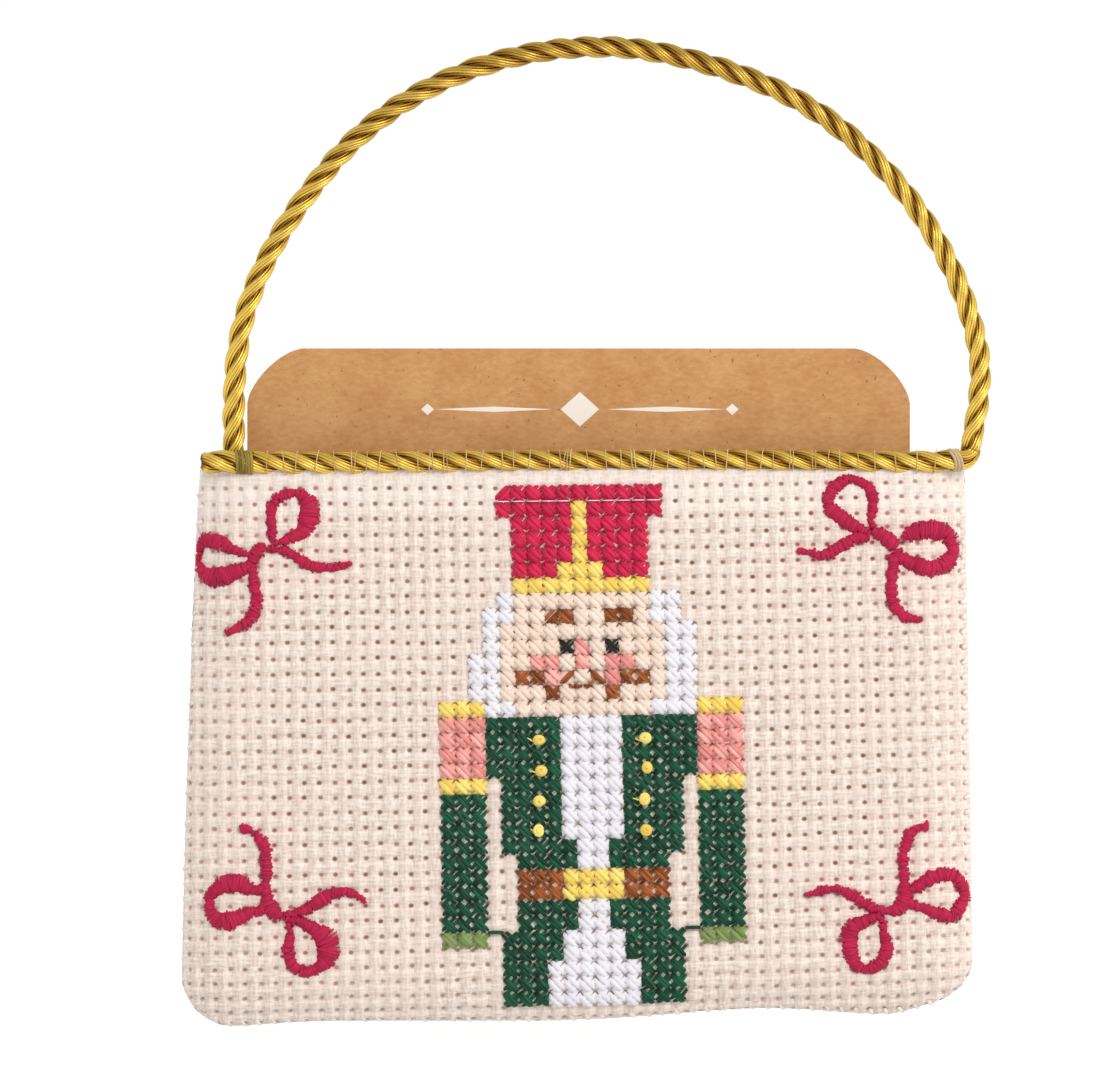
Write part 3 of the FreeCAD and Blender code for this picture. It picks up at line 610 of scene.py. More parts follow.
# %% Strokes of the bows
BOWS = {
    "top_left": [
        [(-46.7, -73.9, 0.9), (-46.9, -73.2, 1.4), (-46.7, -72, 1.6), (-47, -70.4, 1.6), (-46.9, -68.6, 1.6),
         (-46.2, -67.3, 1.6), (-44.8, -66.7, 1.7), (-43.3, -66.5, 1.7), (-41.6, -67.2, 2.2),
         (-40.9, -68.6, 3.1), (-41.1, -70.4, 3.4), (-41.7, -72, 2.7), (-43, -72.9, 2.2), (-44.5, -73.7, 1.4),
         (-46.2, -74.3, 0.9)],
        [(-50.1, -76, 0.9), (-51.2, -75.7, 1.1), (-52.6, -75.3, 1.6), (-54, -74.5, 2.2), (-55.8, -73.7, 2.3),
         (-57.3, -73.7, 2), (-57.9, -75.1, 0.9), (-58.1, -76.8, 0.8), (-57.6, -78.5, 1.6), (-56.4, -79.3, 3),
         (-55, -79.5, 3.4), (-53.3, -78.9, 2.8), (-51.9, -78.4, 2.3), (-50.6, -77.9, 1.9), (-49.8, -77, 1.7)],
        [(-47.3, -74.8, 1.1), (-46.4, -75, 1.1), (-45, -75.4, 1.6), (-43.6, -76, 1.7), (-42, -77, 1.7),
         (-40.3, -77.8, 1.7), (-38.6, -78, 1.6), (-36.9, -77.9, 1.2), (-35.5, -77.5, 0.9),
         (-34.7, -77.2, 0.6)],
        [(-49.8, -77.5, 1.7), (-49.8, -79.3, 1.4), (-49.5, -81, 1.7), (-49, -82.6, 1.9), (-49.4, -84.3, 1.9),
         (-50.1, -85.9, 1.9), (-51.4, -86.8, 1.6), (-52.6, -87.4, 1.2), (-53.7, -87.9, 0.9)],
        [(-48.6, -74.2, 1.7), (-48.7, -75.1, 2.2), (-49.2, -76, 2.2), (-49.8, -77, 1.7)],
    ],
    "top_right": [
        [(44.7, -72.5, 1.2), (42.9, -71.9, 1.9), (41.2, -71, 2.5), (39.8, -70, 2.6), (38.5, -68.8, 2.3),
         (38.1, -67.4, 1.9), (38.9, -66, 2.3), (40, -64.9, 1.9), (41.5, -64.2, 1.4), (42.9, -64.6, 1.4),
         (44.2, -65.4, 1.9), (44.9, -66.5, 2.1), (45.2, -67.7, 1.6), (45, -68.9, 1.8), (44.7, -70, 1.4),
         (44.7, -71, 1.1), (45.1, -71.7, 1.2)],
        [(49.6, -73.5, 1.1), (50.8, -72.8, 2.3), (52.2, -72.1, 3), (54, -72.1, 3), (55.8, -72.5, 3),
         (57, -73.3, 2.3), (57.3, -74.6, 1.9), (57.3, -76, 2.1), (56.5, -77.2, 2.8), (54.9, -78.1, 2.6),
         (53.3, -78.1, 2.6), (51.7, -77.5, 2.6), (50.1, -76.8, 2.1), (48.9, -76.1, 2.1), (48.4, -75.4, 1.8)],
        [(44.5, -73.3, 1.6), (42.9, -73.2, 1.6), (41.9, -73.7, 1.9), (40.7, -74.4, 1.9), (39.4, -75.1, 1.9),
         (38.2, -75.8, 1.8), (36.8, -76, 1.6), (35.4, -75.7, 1.2), (34.2, -75.4, 1.1), (33.6, -75.2, 0.9)],
        [(48.2, -76, 1.9), (48.2, -77.5, 1.6), (48, -79.1, 1.8), (47.9, -80.7, 1.9), (48, -82.1, 1.9),
         (48.1, -83.3, 1.9), (48.9, -84.4, 1.9), (49.8, -85.3, 1.6), (51, -85.8, 1.2), (52.6, -85.8, 0.9)],
        [(45.2, -72.1, 1.6), (46.5, -73, 2.3), (47.7, -73.9, 2.5), (48.7, -74.7, 1.9)],
    ],
    "bottom_left": [
        [(-48.2, -127.1, 1.9), (-49.8, -127.1, 1.9), (-51.2, -126.4, 2.6), (-52.8, -126.1, 3),
         (-54.5, -126.4, 2.6), (-55.9, -127.5, 2.1), (-56.5, -128.9, 1.6), (-56.5, -130.3, 1.6),
         (-55.8, -131.5, 2.5), (-54.3, -132.2, 3.2), (-53.1, -131.9, 3), (-51.5, -131.2, 2.3),
         (-50, -130.6, 1.8), (-48.6, -130.5, 1.6), (-47.5, -129.8, 2.3)],
        [(-44.5, -131.5, 1.6), (-42.8, -132, 1.8), (-41.2, -132.6, 1.9), (-39.8, -133.5, 2.6),
         (-38.6, -134.7, 3.9), (-38, -136.1, 3.9), (-38.4, -137.5, 3.2), (-39.3, -138.7, 2.3),
         (-40.5, -139.6, 1.6), (-41.9, -139.8, 1.6), (-43.3, -139.1, 1.9), (-44.3, -137.7, 2.1),
         (-44.4, -136.3, 1.9), (-44.2, -134.9, 1.6), (-44, -133.6, 1.2), (-44.3, -132.4, 1.1)],
        [(-47.5, -128.7, 2.1), (-47.8, -127.1, 1.6), (-47.7, -125.6, 1.6), (-47.6, -124, 1.8),
         (-47.7, -122.4, 1.9), (-47.9, -121, 1.8), (-48.2, -119.9, 1.8), (-49.1, -118.9, 1.4),
         (-50.1, -118.2, 1.1), (-51.2, -117.7, 1.6), (-51.6, -117.8, 1.4)],
        [(-45.2, -131.2, 1.2), (-43.5, -130.8, 1.4), (-42.1, -130.5, 1.6), (-40.8, -129.8, 1.8),
         (-39.4, -128.7, 2.1), (-37.8, -127.8, 2.1), (-36.1, -127.5, 1.6), (-34.5, -127.7, 1.4),
         (-33.3, -128.4, 1.1), (-32.4, -129, 0.5)],
        [(-47.7, -128.5, 2.1), (-47.3, -129.6, 2.5), (-46.4, -130.8, 2.3), (-45.4, -131.3, 1.4)],
    ],
    "bottom_right": [
        [(50.5, -127.3, 1.4), (51.9, -126.7, 2), (53.4, -125.8, 2.3), (54.8, -125.1, 2.5),
         (56.4, -124.7, 2.5), (58.1, -125.5, 2.3), (59, -126.9, 2), (59.2, -128.4, 1.8), (58.6, -130, 2),
         (57.5, -131.1, 2.3), (55.9, -131.1, 2.3), (54.3, -130.7, 2), (52.8, -130, 1.6),
         (51.4, -129.4, 1.6), (50.3, -129.1, 2.2)],
        [(46.2, -130.9, 1.4), (44.7, -131.6, 1.8), (43.3, -132.1, 2.3), (41.8, -133, 2.9),
         (41.3, -134.5, 2.9), (41.5, -135.9, 2.7), (41.7, -137.4, 2.3), (42.6, -138.6, 2),
         (44, -139.5, 1.6), (45.4, -139, 2), (46.5, -138.1, 2.2), (47.2, -136.8, 2.2), (47.2, -135.4, 2),
         (46.9, -133.8, 1.4), (46.7, -132.5, 1.3), (46.3, -131.4, 1.1)],
        [(50, -127.4, 2), (49.9, -125.8, 1.4), (49.8, -124.4, 1.6), (49.8, -122.9, 1.6),
         (49.7, -121.5, 1.6), (50.1, -120.2, 2), (50.5, -119, 2), (51.4, -118.2, 1.3), (52.3, -117.5, 1.3),
         (53.4, -117.5, 1.6)],
        [(48.2, -130.5, 1.4), (46.9, -130.3, 1.4), (45.6, -130.2, 1.4), (44.4, -129.6, 1.6),
         (42.9, -128.7, 1.8), (41.5, -127.8, 1.8), (40, -127.1, 1.4), (38.6, -127.1, 1.3),
         (37.1, -127.3, 1.4), (35.9, -127.8, 0.9), (34.8, -127.8, 0.5)],
        [(50.3, -127.4, 2.2), (50, -128.5, 2.5), (49.2, -130, 2.3), (48, -130.5, 1.6)],
    ],
}
bow_points = np.array([point for strokes in BOWS.values() for stroke in strokes for point in stroke])
print(len(BOWS), "bows,", len(bow_points), "points")

# %% [markdown]
# ## The soldier doll
# A cross-stitch pattern is a chart of squares. The chart here is a list of blocks for each garment: first
# column, first row, columns, rows. A later block covers an earlier one, as a face covers its ground with
# brows and eyes. The cloth needs it too: under white floss the painted brown shade of the holes is
# weaker.

# %% The chart
CHART = {
    "hat_crimson": ("crimson", [(4, 0, 11, 2), (5, 2, 9, 4)]),
    "hat_gold_trim": ("gold", [(9, 1, 1, 4), (8, 5, 3, 1), (5, 6, 9, 1)]),
    "hair_white": ("white", [(4, 7, 1, 2), (3, 8, 1, 7), (2, 11, 1, 3), (4, 14, 1, 1),
                             (14, 7, 1, 2), (15, 7, 1, 8), (16, 9, 1, 6), (14, 14, 1, 1)]),
    "face_skin": ("skin", [(5, 7, 9, 8), (4, 9, 1, 5), (14, 9, 1, 5)]),
    "brows_brown": ("brown", [(7, 8, 2, 1), (11, 8, 2, 1)]),
    "eyes_black": ("black", [(8, 10, 1, 1), (11, 10, 1, 1)]),
    "cheeks_pink": ("pink", [(6, 11, 2, 1), (7, 12, 1, 1), (9, 10, 1, 2), (11, 11, 2, 1), (11, 12, 1, 1)]),
    "moustache_brown": ("brown", [(5, 12, 2, 1), (7, 13, 1, 1), (8, 12, 1, 1),
                                  (12, 12, 2, 1), (11, 13, 1, 1), (10, 12, 1, 1)]),
    "epaulettes_gold": ("gold", [(0, 14, 3, 1), (17, 14, 3, 1)]),
    "sleeves_pink": ("pink", [(0, 15, 3, 4), (17, 15, 3, 4)]),
    "cuffs_gold": ("gold", [(0, 19, 3, 1), (17, 19, 3, 1)]),
    "arms_green": ("green", [(0, 20, 3, 9), (17, 20, 3, 9)]),
    "gloves_olive": ("olive", [(0, 29, 3, 1), (17, 29, 3, 1)]),
    "coat_green": ("green", [(3, 15, 5, 4), (4, 19, 4, 5), (5, 24, 3, 1), (8, 23, 1, 2),
                             (12, 15, 5, 4), (12, 19, 4, 5), (12, 24, 3, 1), (11, 23, 1, 2)]),
    "shirt_white": ("white", [(8, 15, 4, 8), (9, 23, 2, 2)]),
    "belt_brown": ("brown", [(5, 25, 3, 2), (12, 25, 3, 2)]),
    "buckle_gold": ("gold", [(8, 25, 4, 2)]),
    "coat_tails_green": ("green", [(5, 27, 4, 2), (4, 29, 4, 2), (4, 31, 3, 3),
                                   (11, 27, 4, 2), (12, 29, 4, 2), (13, 31, 3, 3)]),
    "breeches_white": ("white", [(9, 27, 2, 2), (8, 29, 4, 2), (7, 31, 6, 3)]),
}
# Squares with one leg, and the side of it that short strands fill: 1 is the lower right, -1 the lower left.
ONLY_RISING = {(4, 0), (7, 8), (8, 12)}
ONLY_FALLING = {(9, 10), (10, 12)}
CORNERS = {(4, 0): 1, (7, 8): 1, (9, 10): -1}
squares = {}
for garment, (colour, blocks) in CHART.items():
    for first, top, columns, rows in blocks:
        for column in range(first, first + columns):
            for row in range(top, top + rows):
                squares[column, row] = garment
print(len(squares), "squares")

# %% Height of the weave
FIRST_COLUMN, LAST_COLUMN, FIRST_ROW, LAST_ROW = -20, 39, -4, 38
SQUARE, SQUARE_HEIGHT, HOLE_DEPTH, HOLE_DROP, HOLE_SIZE = 2.3, 0.24, 0.30, 0.10, (0.16, 0.14)
white_near = np.zeros((LAST_ROW - FIRST_ROW + 1, LAST_COLUMN - FIRST_COLUMN + 1))
for (column, row), garment in squares.items():
    if CHART[garment][0] == "white":
        down, over = row - FIRST_ROW, column - FIRST_COLUMN
        white_near[down:down + 2, over:over + 2] += 1 / 4


def woven_relief(column, row):
    """Height of the woven squares, with a pit at every hole, in mm."""
    from_column, from_row = column - np.round(column), row - np.round(row)
    square = np.sin(math.pi * column) ** 2 + np.sin(math.pi * row) ** 2
    pit = np.exp(-(from_column / HOLE_SIZE[0]) ** 2 - (from_row / HOLE_SIZE[1]) ** 2)
    return SQUARE_HEIGHT * (square - 1) - HOLE_DEPTH * pit


print(np.count_nonzero(white_near), "holes lie under white floss")

# %% A panel of cloth from a grid
HEM_RADIUS, HEM_LENGTH, HEM_TUCK, HEM_SHUT, TOP_PAINTED_LIGHT, TOP_LIGHT_BAND = 0.40, 4.5, 0.65, 0.7, 0.35, (8, 3)
BOW_SHADE, WHITE_HIDES, FAR = 2.4, 0.45, 99.0
PAST_SEAM, HEM_FREE = 0.4, 1.5  # cells of the grid: past the seam, and along the free edge of the hem
# Painted hole shade is full in the middle of the pouch and weaker towards its sides, where cloth slants away.
SIDE_HOLE_SHADE, SIDE_START, SIDE_WIDTH = 0.6, 2.0, 12.0


def delete_points(panel, gone):
    """Deletes points of a panel in edit mode."""
    bpy.ops.object.mode_set(mode="EDIT")
    bpy.ops.mesh.select_all(action="DESELECT")
    bpy.ops.object.mode_set(mode="OBJECT")
    panel.data.vertices.foreach_set("select", gone)
    bpy.ops.object.mode_set(mode="EDIT")
    bpy.ops.mesh.delete(type="VERT")
    bpy.ops.object.mode_set(mode="OBJECT")


def cloth_panel(name, side, per_square, hem=HEM_RADIUS, inset=0.0, relief=1.0):
    """A panel of the pouch, front for side -1, back for 1: a grid laid on the pouch and cut at the seam."""
    columns, rows = (LAST_COLUMN - FIRST_COLUMN) * per_square, (LAST_ROW - FIRST_ROW) * per_square
    bpy.ops.object.select_all(action="DESELECT")
    bpy.ops.mesh.primitive_grid_add(x_subdivisions=columns, y_subdivisions=rows, size=2, calc_uvs=False)
    panel = bpy.context.object
    panel.name = panel.data.name = name
    flat = np.array([v.co[:2] for v in panel.data.vertices]).reshape(rows + 1, columns + 1, 2)
    column = FIRST_COLUMN + (flat[..., 0] + 1) / 2 * (LAST_COLUMN - FIRST_COLUMN)
    row = LAST_ROW - (flat[..., 1] + 1) / 2 * (LAST_ROW - FIRST_ROW)
    x, z = grain(column, row + HOLE_DROP)
    x = x if side < 0 else -x
    mouth = MOUTH_Z - hem + HEM_TUCK - inset
    cell = SQUARE / per_square

    # What lies beyond the seam or the hem goes, and the last points left move on to the seam.
    above = np.clip(z - mouth, 0, None)
    from_seam = round_off(x, z, inset)[3]
    keep = (from_seam > -PAST_SEAM * cell) & (above < HEM_LENGTH)
    wide = np.pad(keep, 1)
    whole = np.ones_like(keep)
    for down in (0, 1, 2):
        for over in (0, 1, 2):
            whole &= wide[down:down + rows + 1, over:over + columns + 1]
    last = keep & ~whole & (above < HEM_LENGTH - HEM_FREE * cell)
    way_x, way_z = outwards(x, z)
    x, z = x + np.where(last, way_x * from_seam, 0), z + np.where(last, way_z * from_seam, 0)

    def laid(x, z):
        seen_x, seen_z, deep, _ = round_off(x, z, inset)
        return np.stack([seen_x, side * deep * (1 + waves(seen_x, seen_z) / HALF_THICKNESS), seen_z], axis=-1)

    low, step = np.minimum(z, mouth), 0.1
    normal = np.cross(laid(x + step, low) - laid(x - step, low), laid(x, low + step) - laid(x, low - step))
    normal *= -side / (np.linalg.norm(normal, axis=-1)[..., None] + 1e-12)
    turn = np.clip(above / hem, 0, math.pi)
    hole = np.round(row).astype(int) - FIRST_ROW, np.round(column).astype(int) - FIRST_COLUMN
    # White floss weakens the painted shade of the holes under it, and flattens the weave.
    bare = 1 - WHITE_HIDES * white_near[hole] if side < 0 else 1.0
    height = relief * bare * woven_relief(column, row)
    height *= np.clip(from_seam, 0, 1) * np.clip((mouth - z) / SQUARE, 0, 1)
    points = laid(x, low) + normal * (height * np.cos(turn) - hem * (1 - np.cos(turn)))[..., None]
    points[..., 2] += (hem + height) * np.sin(turn) - np.clip(above - math.pi * hem, 0, None)
    panel.data.vertices.foreach_set("co", (points * MM).astype(np.float32).ravel())

    # The weave is the UV map, so a hole of the cloth is at every whole number.
    weave = np.stack([column, row], axis=-1).reshape(-1, 2)
    near_bow = np.full(x.shape, FAR)
    if side < 0:
        for bow_x, bow_z, width in bow_points:
            near_bow = np.minimum(near_bow, np.hypot(x - bow_x, z - bow_z) - width / 2)
    middle = SIDE_HOLE_SHADE + (1 - SIDE_HOLE_SHADE) * np.clip((inside(x, z) - SIDE_START) / SIDE_WIDTH, 0, 1)
    map_and_values(panel.data, weave, {
        "bow_thread": np.exp(-np.clip(near_bow, 0, None) / BOW_SHADE),
        # A band of painted light along the top of the cloth, over the hem.
        "painted_top_light": TOP_PAINTED_LIGHT * np.clip((z - mouth + TOP_LIGHT_BAND[0]) / TOP_LIGHT_BAND[1], 0, 1),
        # How strong the painted shade in the holes is.
        "painted_hole_shade": middle * np.clip(mouth - HEM_SHUT - z, 0, 1) * bare,
    })

    delete_points(panel, ~keep.ravel())
    bpy.ops.object.shade_smooth()
    print(name, len(panel.data.polygons), "faces")
    return panel


# %% Front and back panel
front = finish_piece(cloth_panel("cloth_front", -1, 6), aida, "pouch", "front_panel")
back = finish_piece(cloth_panel("cloth_back", 1, 4), aida, "pouch", "back_panel")

# %% [markdown]
# ## Lining
# Plain cotton covers the backs of the stitches inside the pouch. It is the same panel again, set in by a
# millimetre, with a coarser grid and no squares, because only a strip of it shows at the mouth.

# %% Material: plain lining cotton
# Flat, even cotton, a little whiter than the Aida, with a fine plain weave.
LINING_THREAD = 0.4
lining_cotton, tree, shader = new_material("plain_lining_cotton", Roughness=0.9, Sheen_Weight=0.15)
weave = add(tree, "UVMap", uv_map="thread_map")
checks = add(tree, "TexChecker", {"Vector": weave, "Scale": SQUARE / LINING_THREAD,
                                  "Color1": linear("#F4ECE2"), "Color2": linear("#E3D8CB")})
dress(tree, shader, checks, checks.outputs["Fac"], strength=0.4, distance=0.1)
print("made", lining_cotton.name)

# %% Two panels of lining
LINING_INSET, LINING_HEM = 0.92, 0.12
for place, side in (("front", -1), ("back", 1)):
    panel = cloth_panel("lining_" + place, side, 2, LINING_HEM, LINING_INSET, 0.0)
    lining = finish_piece(panel, lining_cotton, "pouch", place + "_lining")

# %% [markdown]
# ## One strand of floss
# Every cross stitch and every bow is made of the same thing: a short strand of stranded cotton that comes
# up through a hole, bows over the cloth and goes down again. It is modelled once: a circle is extruded
# ring by ring, and each ring is scaled so that the strand is thickest in its middle. All stitches are
# copies of it, bent in code. Bending each one with its own modifier would take thousands of objects.

# %% The master strand
STRAND_SIDES = 6
STRAND_GIRTH = (0.70, 0.92, 1.0, 1.02, 1.0, 0.92, 0.70)

bpy.ops.object.select_all(action="DESELECT")
bpy.ops.mesh.primitive_circle_add(vertices=STRAND_SIDES, radius=STRAND_GIRTH[0], fill_type="NGON")
strand = bpy.context.object
bpy.ops.object.mode_set(mode="EDIT")
bpy.ops.mesh.select_all(action="SELECT")
for ring in range(1, len(STRAND_GIRTH)):
    step = 1 / (len(STRAND_GIRTH) - 1)
    grow = STRAND_GIRTH[ring] / STRAND_GIRTH[ring - 1]
    bpy.ops.mesh.extrude_region_move(TRANSFORM_OT_translate={"value": (0, 0, step)})
    bpy.ops.transform.resize(value=(grow, grow, 1), center_override=(0, 0, ring * step))
bpy.ops.mesh.select_all(action="SELECT")
bpy.ops.mesh.normals_make_consistent(inside=False)
bpy.ops.object.mode_set(mode="OBJECT")
STRAND_POINTS = np.array([v.co for v in strand.data.vertices])
STRAND_FACES = [list(face.vertices) for face in strand.data.polygons]
bpy.data.objects.remove(strand)
print("strand", len(STRAND_POINTS), "points", len(STRAND_FACES), "faces")

# %% Strands laid on the cloth
STRAND_RISE = 0.6  # the smaller, the sooner a strand is up


def lay_strands(starts, ends, low, high, width, thickness):
    """Strands from starts to ends, as seen from the front, that rise from low to high off the cloth."""
    along = STRAND_POINTS[:, 2]
    starts, ends = np.asarray(starts, float), np.asarray(ends, float)
    count = len(starts)
    low, high, width, thickness = [np.broadcast_to(np.asarray(v, float), count)[:, None]
                                   for v in (low, high, width, thickness)]
    x = starts[:, :1] * (1 - along) + ends[:, :1] * along
    z = starts[:, 1:] * (1 - along) + ends[:, 1:] * along
    rise = low + (high - low) * np.sin(math.pi * along) ** STRAND_RISE
    middle, normal = on_front(x, z, rise)
    run = ends - starts
    length = np.hypot(run[:, 0], run[:, 1])
    run3 = np.stack([run[:, 0] / length, np.zeros(count), run[:, 1] / length], axis=1)[:, None]
    side = np.cross(normal, np.broadcast_to(run3, normal.shape))
    points = middle + side * (width * STRAND_POINTS[:, 0])[..., None]
    points = points + normal * (thickness * STRAND_POINTS[:, 1])[..., None]
    around = np.arctan2(STRAND_POINTS[:, 0], STRAND_POINTS[:, 1]) / 2 / math.pi + 0.5
    uv = np.stack([length[:, None] * along, np.broadcast_to(around, (count, len(along)))], axis=-1)
    faces = [[corner + i * len(along) for corner in face] for i in range(count) for face in STRAND_FACES]
    tone = np.repeat(dice.uniform(0, 1, count), len(along))
    return points.reshape(-1, 3), faces, uv.reshape(-1, 2), tone


def join_parts(parts):
    """One set of points, faces, UV and tones out of several."""
    joined, start = [], 0
    points, faces, uv, tone = zip(*parts)
    for some_points, some_faces in zip(points, faces):
        joined += [[corner + start for corner in face] for face in some_faces]
        start += len(some_points)
    return np.concatenate(points), joined, np.concatenate(uv), np.concatenate(tone)


def stitched(name, parts, material, node):
    """A piece of stitches that rides on the pouch."""
    return finish_piece(piece_from(name, *join_parts(parts)), material, "pouch", node)


# %% [markdown]
# ## Stranded cotton
# Mercerised floss has a soft gloss along its fibres. One function makes all the colours: fibres run along
# the strand's own UV map, and each strand is a little lighter or darker than its neighbour, as hand-sewn
# ones are.

# %% Material: stranded cotton floss
# Soft gloss along fine fibres, deeper in colour between them.
FIBRE_LENGTH, FIBRES_ROUND, OWN_FIBRES, STRAND_TONE, FIBRE_SHADES = 2.0, 10.0, 31.0, 0.45, (0.35, 1.05)
SHADES = {
    "crimson": ("#AE163F", "#E02B56"), "gold": ("#E6BE4A", "#FBE986"), "white": ("#E3E0E7", "#EDEBF0"),
    "skin": ("#E6CDBA", "#F5E4D6"), "brown": ("#4A1B06", "#BA6831"), "black": ("#0E0E0D", "#2A2926"),
    "pink": ("#D2706B", "#FFC2B8"), "green": ("#022417", "#185F43"), "olive": ("#647C3E", "#94A86C"),
    "crimson_satin": ("#93123A", "#CB2450", 0.2),
}


def floss(name, dark, light, gloss=0.12):
    """Cotton floss between a dark and a light shade."""
    material, tree, shader = new_material(name, Roughness=0.58, Sheen_Weight=gloss, Sheen_Roughness=0.45,
                                          Sheen_Tint=linear(light), Specular_IOR_Level=0.22)
    along = add(tree, "UVMap", uv_map="thread_map")
    tone = add(tree, "Attribute", attribute_name="tone").outputs["Fac"]
    own = add(tree, "CombineXYZ", {"Z": tone})
    stretch = add(tree, "Mapping", {"Vector": along, "Scale": (1 / FIBRE_LENGTH, FIBRES_ROUND, 1.0)})
    spread = add(tree, "VectorMath", [own, (OWN_FIBRES,) * 3, stretch], "MULTIPLY_ADD")
    fibres = add(tree, "TexNoise", {"Vector": spread, "Scale": 1.0, "Detail": 3.0, "Roughness": 0.6})
    blend = add(tree, "Math", [tone, STRAND_TONE, fibres], "MULTIPLY_ADD")
    shade = add(tree, "MapRange", [blend, *FIBRE_SHADES])
    colour = add(tree, "MixRGB", [shade, linear(dark), linear(light)])
    dress(tree, shader, colour, fibres, strength=0.5, distance=0.07)
    return material


FLOSS = {name: floss(name + "_floss", *shades) for name, shades in SHADES.items()}
print(len(FLOSS), "kinds of floss")

# %% [markdown]
# ## Cross stitches
# Each square of the chart becomes two legs of two strands; the second leg crosses over the first. A few
# squares have only one leg, as they do in hand work where a line slants.

# %% Legs, lines and corners
STRAND_APART, BY_THE_HOLE = 0.83, 0.055
JITTER, HIGH_JITTER, WIDTHS = 0.05, 0.03, (0.92, 1.08)
BACK_LOW, BACK_FLAT = 0.1, 0.8
FILLED_AT = np.array([0.2, 0.46, 0.74])


def sideways(run):
    """Directions on the cloth across runs of thread."""
    return unit(np.stack([-run[:, 1], run[:, 0]], axis=1))


def seen(column, row):
    """Place of a point of the weave as it is seen from the front."""
    x, z, _, _ = round_off(*grain(np.asarray(column, float), np.asarray(row, float)))
    return np.stack([x, z], axis=-1)


def legs(cells, rising, width, thickness, high, low_end):
    """Strands of one leg of each cell's cross: rising legs go up to the right."""
    cells = np.asarray(cells, float)
    left, right = cells[:, 0] + BY_THE_HOLE, cells[:, 0] + 1 - BY_THE_HOLE
    top, low = cells[:, 1] + BY_THE_HOLE, cells[:, 1] + 1 - BY_THE_HOLE
    start, end = (seen(left, low), seen(right, top)) if rising else (seen(left, top), seen(right, low))
    across = sideways(end - start)
    parts = []
    for side in (-1, 1):
        count = len(cells)
        bow = STRAND_APART * width * side + dice.normal(0, JITTER, (count, 1))
        shift = dice.normal(0, JITTER, (count, 2))
        parts.append(lay_strands(start + across * bow + shift, end + across * bow + shift, low_end,
                                 high + dice.normal(0, HIGH_JITTER, count),
                                 width * dice.uniform(*WIDTHS, count), thickness))
    return parts


def back_stitch(places, high, width):
    """Strands of a line of back stitch through places of the weave."""
    points = seen([p[0] for p in places], [p[1] for p in places])
    return [lay_strands(points[:-1], points[1:], BACK_LOW, high, width, width * BACK_FLAT)]


def filled_corner(cell, side, width, thickness, high, low_end):
    """Strands that fill the lower right (side 1) or lower left (side -1) of a square, under its one leg."""
    left, top = cell
    near, far = (left + FILLED_AT, left + 1) if side > 0 else (left + 1 - FILLED_AT, left)
    start = seen(near, np.full(len(FILLED_AT), top + 1))
    end = seen(np.full(len(FILLED_AT), far), top + FILLED_AT)
    return [lay_strands(start, end, low_end, high, width, thickness)]


# %% Stitches of every garment
# Half width and half thickness of a strand, how high the first and the second leg rise and how low their ends
# go, in mm: pale floss lies flat and full.
LIE = {"white": (0.50, 0.18, 0.40, 0.50, -0.05), "skin": (0.48, 0.19, 0.38, 0.50, -0.12),
       "gold": (0.45, 0.21, 0.36, 0.52, -0.20), "pink": (0.41, 0.23, 0.33, 0.54, -0.25),
       "crimson": (0.41, 0.25, 0.30, 0.56, -0.30), "green": (0.33, 0.26, 0.30, 0.56, -0.30),
       "olive": (0.38, 0.25, 0.30, 0.56, -0.30), "brown": (0.32, 0.25, 0.30, 0.56, -0.30),
       "black": (0.27, 0.25, 0.30, 0.56, -0.30)}
FINE = {"moustache_brown": 0.27, "brows_brown": 0.31}
BRIM, BRIM_MIDDLE = range(4, 15), 9
# Lines of back stitch: places, how high they rise and half their width.
EXTRA = {
    "hair_white": [back_stitch([(column + 0.03, 1), (column + 0.94, 1)], 0.84, 0.09) for column in BRIM
                   if column != BRIM_MIDDLE],
    "moustache_brown": [back_stitch([(8.58, 12.94), (8.92, 13.14), (9.53, 13.04), (9.93, 13.07),
                                     (10.34, 12.6)], 0.85, 0.28)],
    "arms_green": [back_stitch([(column, 29), (column + 1, 29)], 0.4, 0.3) for column in (3, 16)],
}
for garment, (colour, blocks) in CHART.items():
    cells = [cell for cell, owner in squares.items() if owner == garment]
    width, thickness, low, high, low_end = LIE[colour]
    width = FINE.get(garment, width)
    parts = legs([cell for cell in cells if cell not in ONLY_FALLING], True, width, thickness, low, low_end)
    parts += legs([cell for cell in cells if cell not in ONLY_RISING], False, width, thickness, high, low_end)
    for cell in cells:
        if cell in CORNERS:
            parts += filled_corner(cell, CORNERS[cell], width, thickness, low, low_end)
    for extra in EXTRA.get(garment, []):
        parts += extra
    stitched("stitches_" + garment, parts, FLOSS[colour], garment)
    print(garment, len(cells), "squares")

# %% [markdown]
# ## Knotted buttons
# The coat has eight buttons of knotted floss. A knot is a thread wound round the needle two or three
# times and pulled down through the cloth: a spiral that climbs and closes. Beads would be too round and
# too even.

# %% Knots
KNOT_COLUMNS, KNOT_ROWS = (6.5, 13.5), (16.5, 18.5, 20.5, 22.5)
KNOT_RADIUS, KNOT_THREAD, KNOT_TURNS, KNOT_POINTS, KNOT_SIDES = 0.60, 0.40, 2.3, 30, 7
KNOT_JITTER, KNOT_CLOSES, KNOT_UNEVEN, KNOT_LIFT, KNOT_CLIMB, KNOT_WAVE = 0.12, 0.75, 0.22, 0.75, 0.45, 0.16
KNOT_SQUASH, KNOT_END = (0.82, 1.2), 0.75
TAIL_WIDTH, TAIL_LOW, TAIL_HIGH, TAIL_ACROSS, TAIL_UP = 0.11, 0.72, 0.95, (-1.5, -0.7), (-0.2, 0.7)


